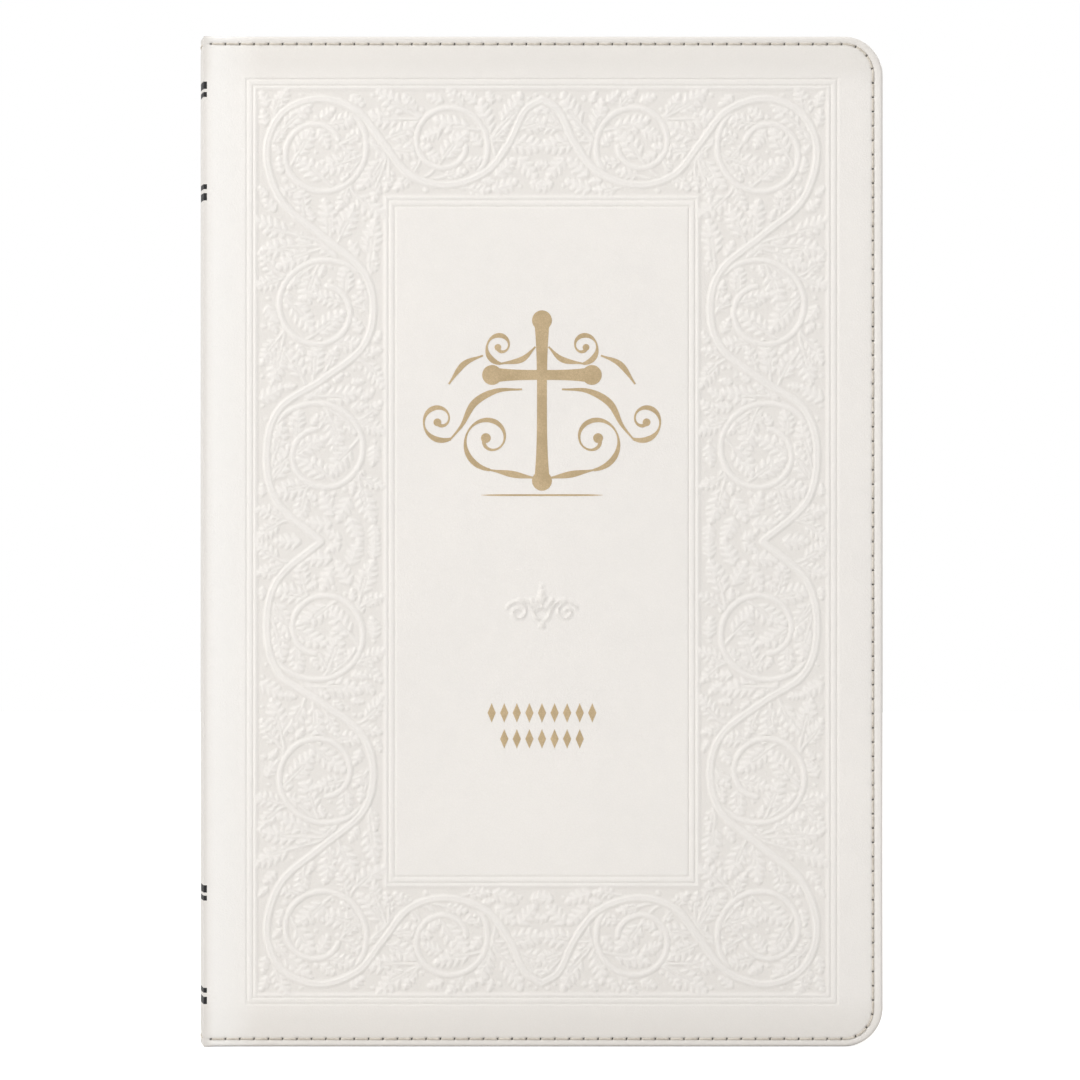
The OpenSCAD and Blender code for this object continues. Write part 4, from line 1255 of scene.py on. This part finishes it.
def shares_across(*runs, last):
    """Shares from the back to the fore edge: even runs (from, to, how many), then the last share, where the
    corners are round, by the sine of an even angle."""
    rounded = 1 - last * (1 - np.sin(np.linspace(0, 1.57, 18)))
    return np.unique(np.concatenate([*(np.linspace(*run) for run in runs), rounded]))


def half_pages(side, name):
    """One half of the pages. Beyond the ribbon's reach its inner face comes close to the other half. The
    back is an arc with a small scallop for each folded section, the fore edge is hollow, and each layer of
    leaves stands in or out by a few hundredths of a millimetre."""
    chance = np.random.default_rng(11 + side)
    layers = np.linspace(0, 1, 73)
    uneven = chance.normal(0, 0.03, len(layers)) + 0.05 * np.sin(np.linspace(0, 23, len(layers)))
    uneven[[0, -1]] = 0

    def place(s, v, w):
        flat_x = PAGES_LOW[0] + s * (PAGES_HIGH[0] - PAGES_LOW[0])
        inner = PAGES_LOW[1] - (PAGES_LOW[1] - 0.08) * beyond_ribbon(flat_x, page_edges(flat_x, w))
        y = inner + v * (PAGES_HIGH[1] - inner)
        scallop = 0.3 * (1 - np.abs(np.sin(SECTIONS * math.pi * v)) ** 0.5)
        back = PAGES_LOW[0] + y * y / (2 * BACK_R) + scallop * (1 - smooth(s * 100))
        fore = PAGES_HIGH[0] - HOLLOW * (1 - (y / PAGES_HIGH[1]) ** 2)
        x = back + s * (fore - back)
        step = np.interp(v, layers, uneven)
        z = page_edges(x + PAGES_HIGH[0] - fore, w)
        return np.stack([x + step * smooth(8 * s - 7), side * y, z + (2 * w - 1) * step], axis=-1)

    s = shares_across((0, 0.012, 6), (0.012, 0.26, 26), (0.26, 0.95, 16), last=0.05)
    points, faces, on = boxed(place, s, layers, np.linspace(0, 1, 60))
    solid(f"{name}_pages", points, faces, PAGE, None, (f"{name}_signatures",), flip=side < 0,
          merge=True, attributes={"place": points.astype(np.float32)}, material_of_face=(on > 2).astype(int),
          more_materials=(GILT,), bend=(f"{name}_block", "spine", *BEND), sharp=40.0)


def back_arc(y, off):
    """X of the pages' back at y, pushed out by off."""
    return PAGES_LOW[0] + y * y / (2 * BACK_R) - off


def half_back(side, name):
    """What is glued on a half's back: mull, the kettle stitches under its ends, and the two bands."""
    bend = (f"{name}_block", "spine", *BEND)
    low, high = low_high(f"{name}_mull")
    y0, y1 = PAGES_LOW[1], PAGES_HIGH[1]

    def mull(s, v, w):
        y = y0 + s * (y1 - y0)
        x = back_arc(y, 0.02 + 0.28 * v + 0.02 * np.sin(40 * s))
        return np.stack([x, side * y, low[2] + w * (high[2] - low[2])], axis=-1)
    points, faces, _ = boxed(mull, np.linspace(0, 1, 30), THROUGH, np.linspace(0, 1, 80))
    solid(f"{name}_mull_cloth", points, faces, MULL, None, (f"{name}_mull",), merge=True,
          flip=side < 0, bend=bend)
    y = np.repeat(y0 + (np.arange(SECTIONS) + 0.5) * (y1 - y0) / SECTIONS, 2)
    starts = np.tile([PAGES_LOW[2] + 7, PAGES_HIGH[2] - 12], SECTIONS)
    t = np.linspace(0, 1, 9)
    z = starts[:, None] + 5 * t
    x = back_arc(y, 0.02)[:, None] - 0.09 * np.sin(math.pi * t) + 0 * z
    centres = np.stack([x, side * y[:, None] + 0 * z, z], axis=-1)
    threads(f"{name}_kettle_stitches", centres, np.array([-1.0, 0, 0]), None, (f"{name}_sewing",), 0.1, bend)
    rings, sides, band_r = 181, 20, 0.75
    for end, z_mid in (("head", PAGES_HIGH[2] + band_r), ("tail", PAGES_LOW[2] - band_r)):
        run = np.linspace(y0, y1, rings)
        around = np.linspace(0, 2 * math.pi, sides, endpoint=False)
        r = 0.70 + 0.045 * np.abs(np.sin(math.pi * run / 0.35))
        r[[0, -1]] = 0.45
        mid_x = low_high(f"{name}_{end}band")[0][0] + band_r + run ** 2 / (2 * BACK_R)
        points = np.stack([mid_x[:, None] + r[:, None] * np.cos(around),
                           side * run[:, None] + 0 * around,
                           z_mid + r[:, None] * np.sin(around)], axis=-1)
        solid(f"{name}_{end}_band", points, quads(rings, sides, closed=True), BAND, None,
              (f"{name}_{end}band",), flip=side < 0, caps=end_rings(rings, sides),
              attributes={"place": points.reshape(-1, 3)}, bend=bend)


def leaf_sheet(node, side, block):
    """Loose leaf: a thin sheet with fore-edge corners rounded like the pages' and a faint wave."""
    low, high = low_high(node)
    near = side * (low[1] if side > 0 else high[1])

    def place(s, v, w):
        x = low[0] + s * (high[0] - low[0])
        wave = 0.05 * np.sin(2.2 * s + 5.0 * w) * smooth(6 * s)
        return np.stack([x, side * (near + 0.2 * v + wave), page_edges(x, w)], axis=-1)
    s = shares_across((0, 0.2, 24), (0.2, 0.94, 24), last=0.06)
    points, faces, _ = boxed(place, s, THROUGH, np.linspace(0, 1, 50))
    solid(f"{node}_sheet", points, faces, ENDPAPER, None, (node,), flip=side < 0, merge=True,
          bend=(block, node, low[0] + 0.3, low[0] + 9), sharp=40.0)


def ribbon_strip():
    """Ribbon: a thin strip that waves a little as it hangs, with its foot cut on the slant and its head
    squeezed where it is glued in."""
    low, high = low_high("ribbon_marker")

    def place(s, v, w):
        z = low[2] + 4.5 * s * (1 - w) ** 8 + w * (high[2] - low[2])
        x = low[0] + s * (high[0] - low[0])
        y = 0.12 * np.sin(9.0 * w) + 0.05 * np.sin(31 * w + 2 * s)
        y *= smooth(8 * (1 - w))
        thick = 0.22 + 0.06 * (np.abs(2 * s - 1) > 0.86)
        return np.stack([x, y + (v - 0.5) * thick, z], axis=-1)
    points, faces, _ = boxed(place, np.array([0, .04, .08, .1, .3, .5, .7, .9, .92, .96, 1.0]),
                             THROUGH, np.linspace(0, 1, 240))
    solid("ribbon_satin_strip", points, faces, RIBBON, "ribbon", ("ribbon_marker",),
          merge=True)


for side, name in ((1, "rear"), (-1, "front")):
    half_pages(side, name)
    half_back(side, name)
for node, side, block in (("front_flyleaf", -1, "front_block"), ("presentation_leaf", -1, "front_block"),
                          ("back_flyleaf", 1, "rear_block"), ("map_leaf", 1, "rear_block")):
    leaf_sheet(node, side, block)
ribbon_strip()

for node, finish in (("front_board", BOARD), ("back_board", BOARD), ("spine_card", BOARD),
                     ("front_lining", ENDPAPER), ("back_lining", ENDPAPER)):
    mesh = bpy.data.objects[node].data
    mesh.materials.clear()
    mesh.materials.append(finish)
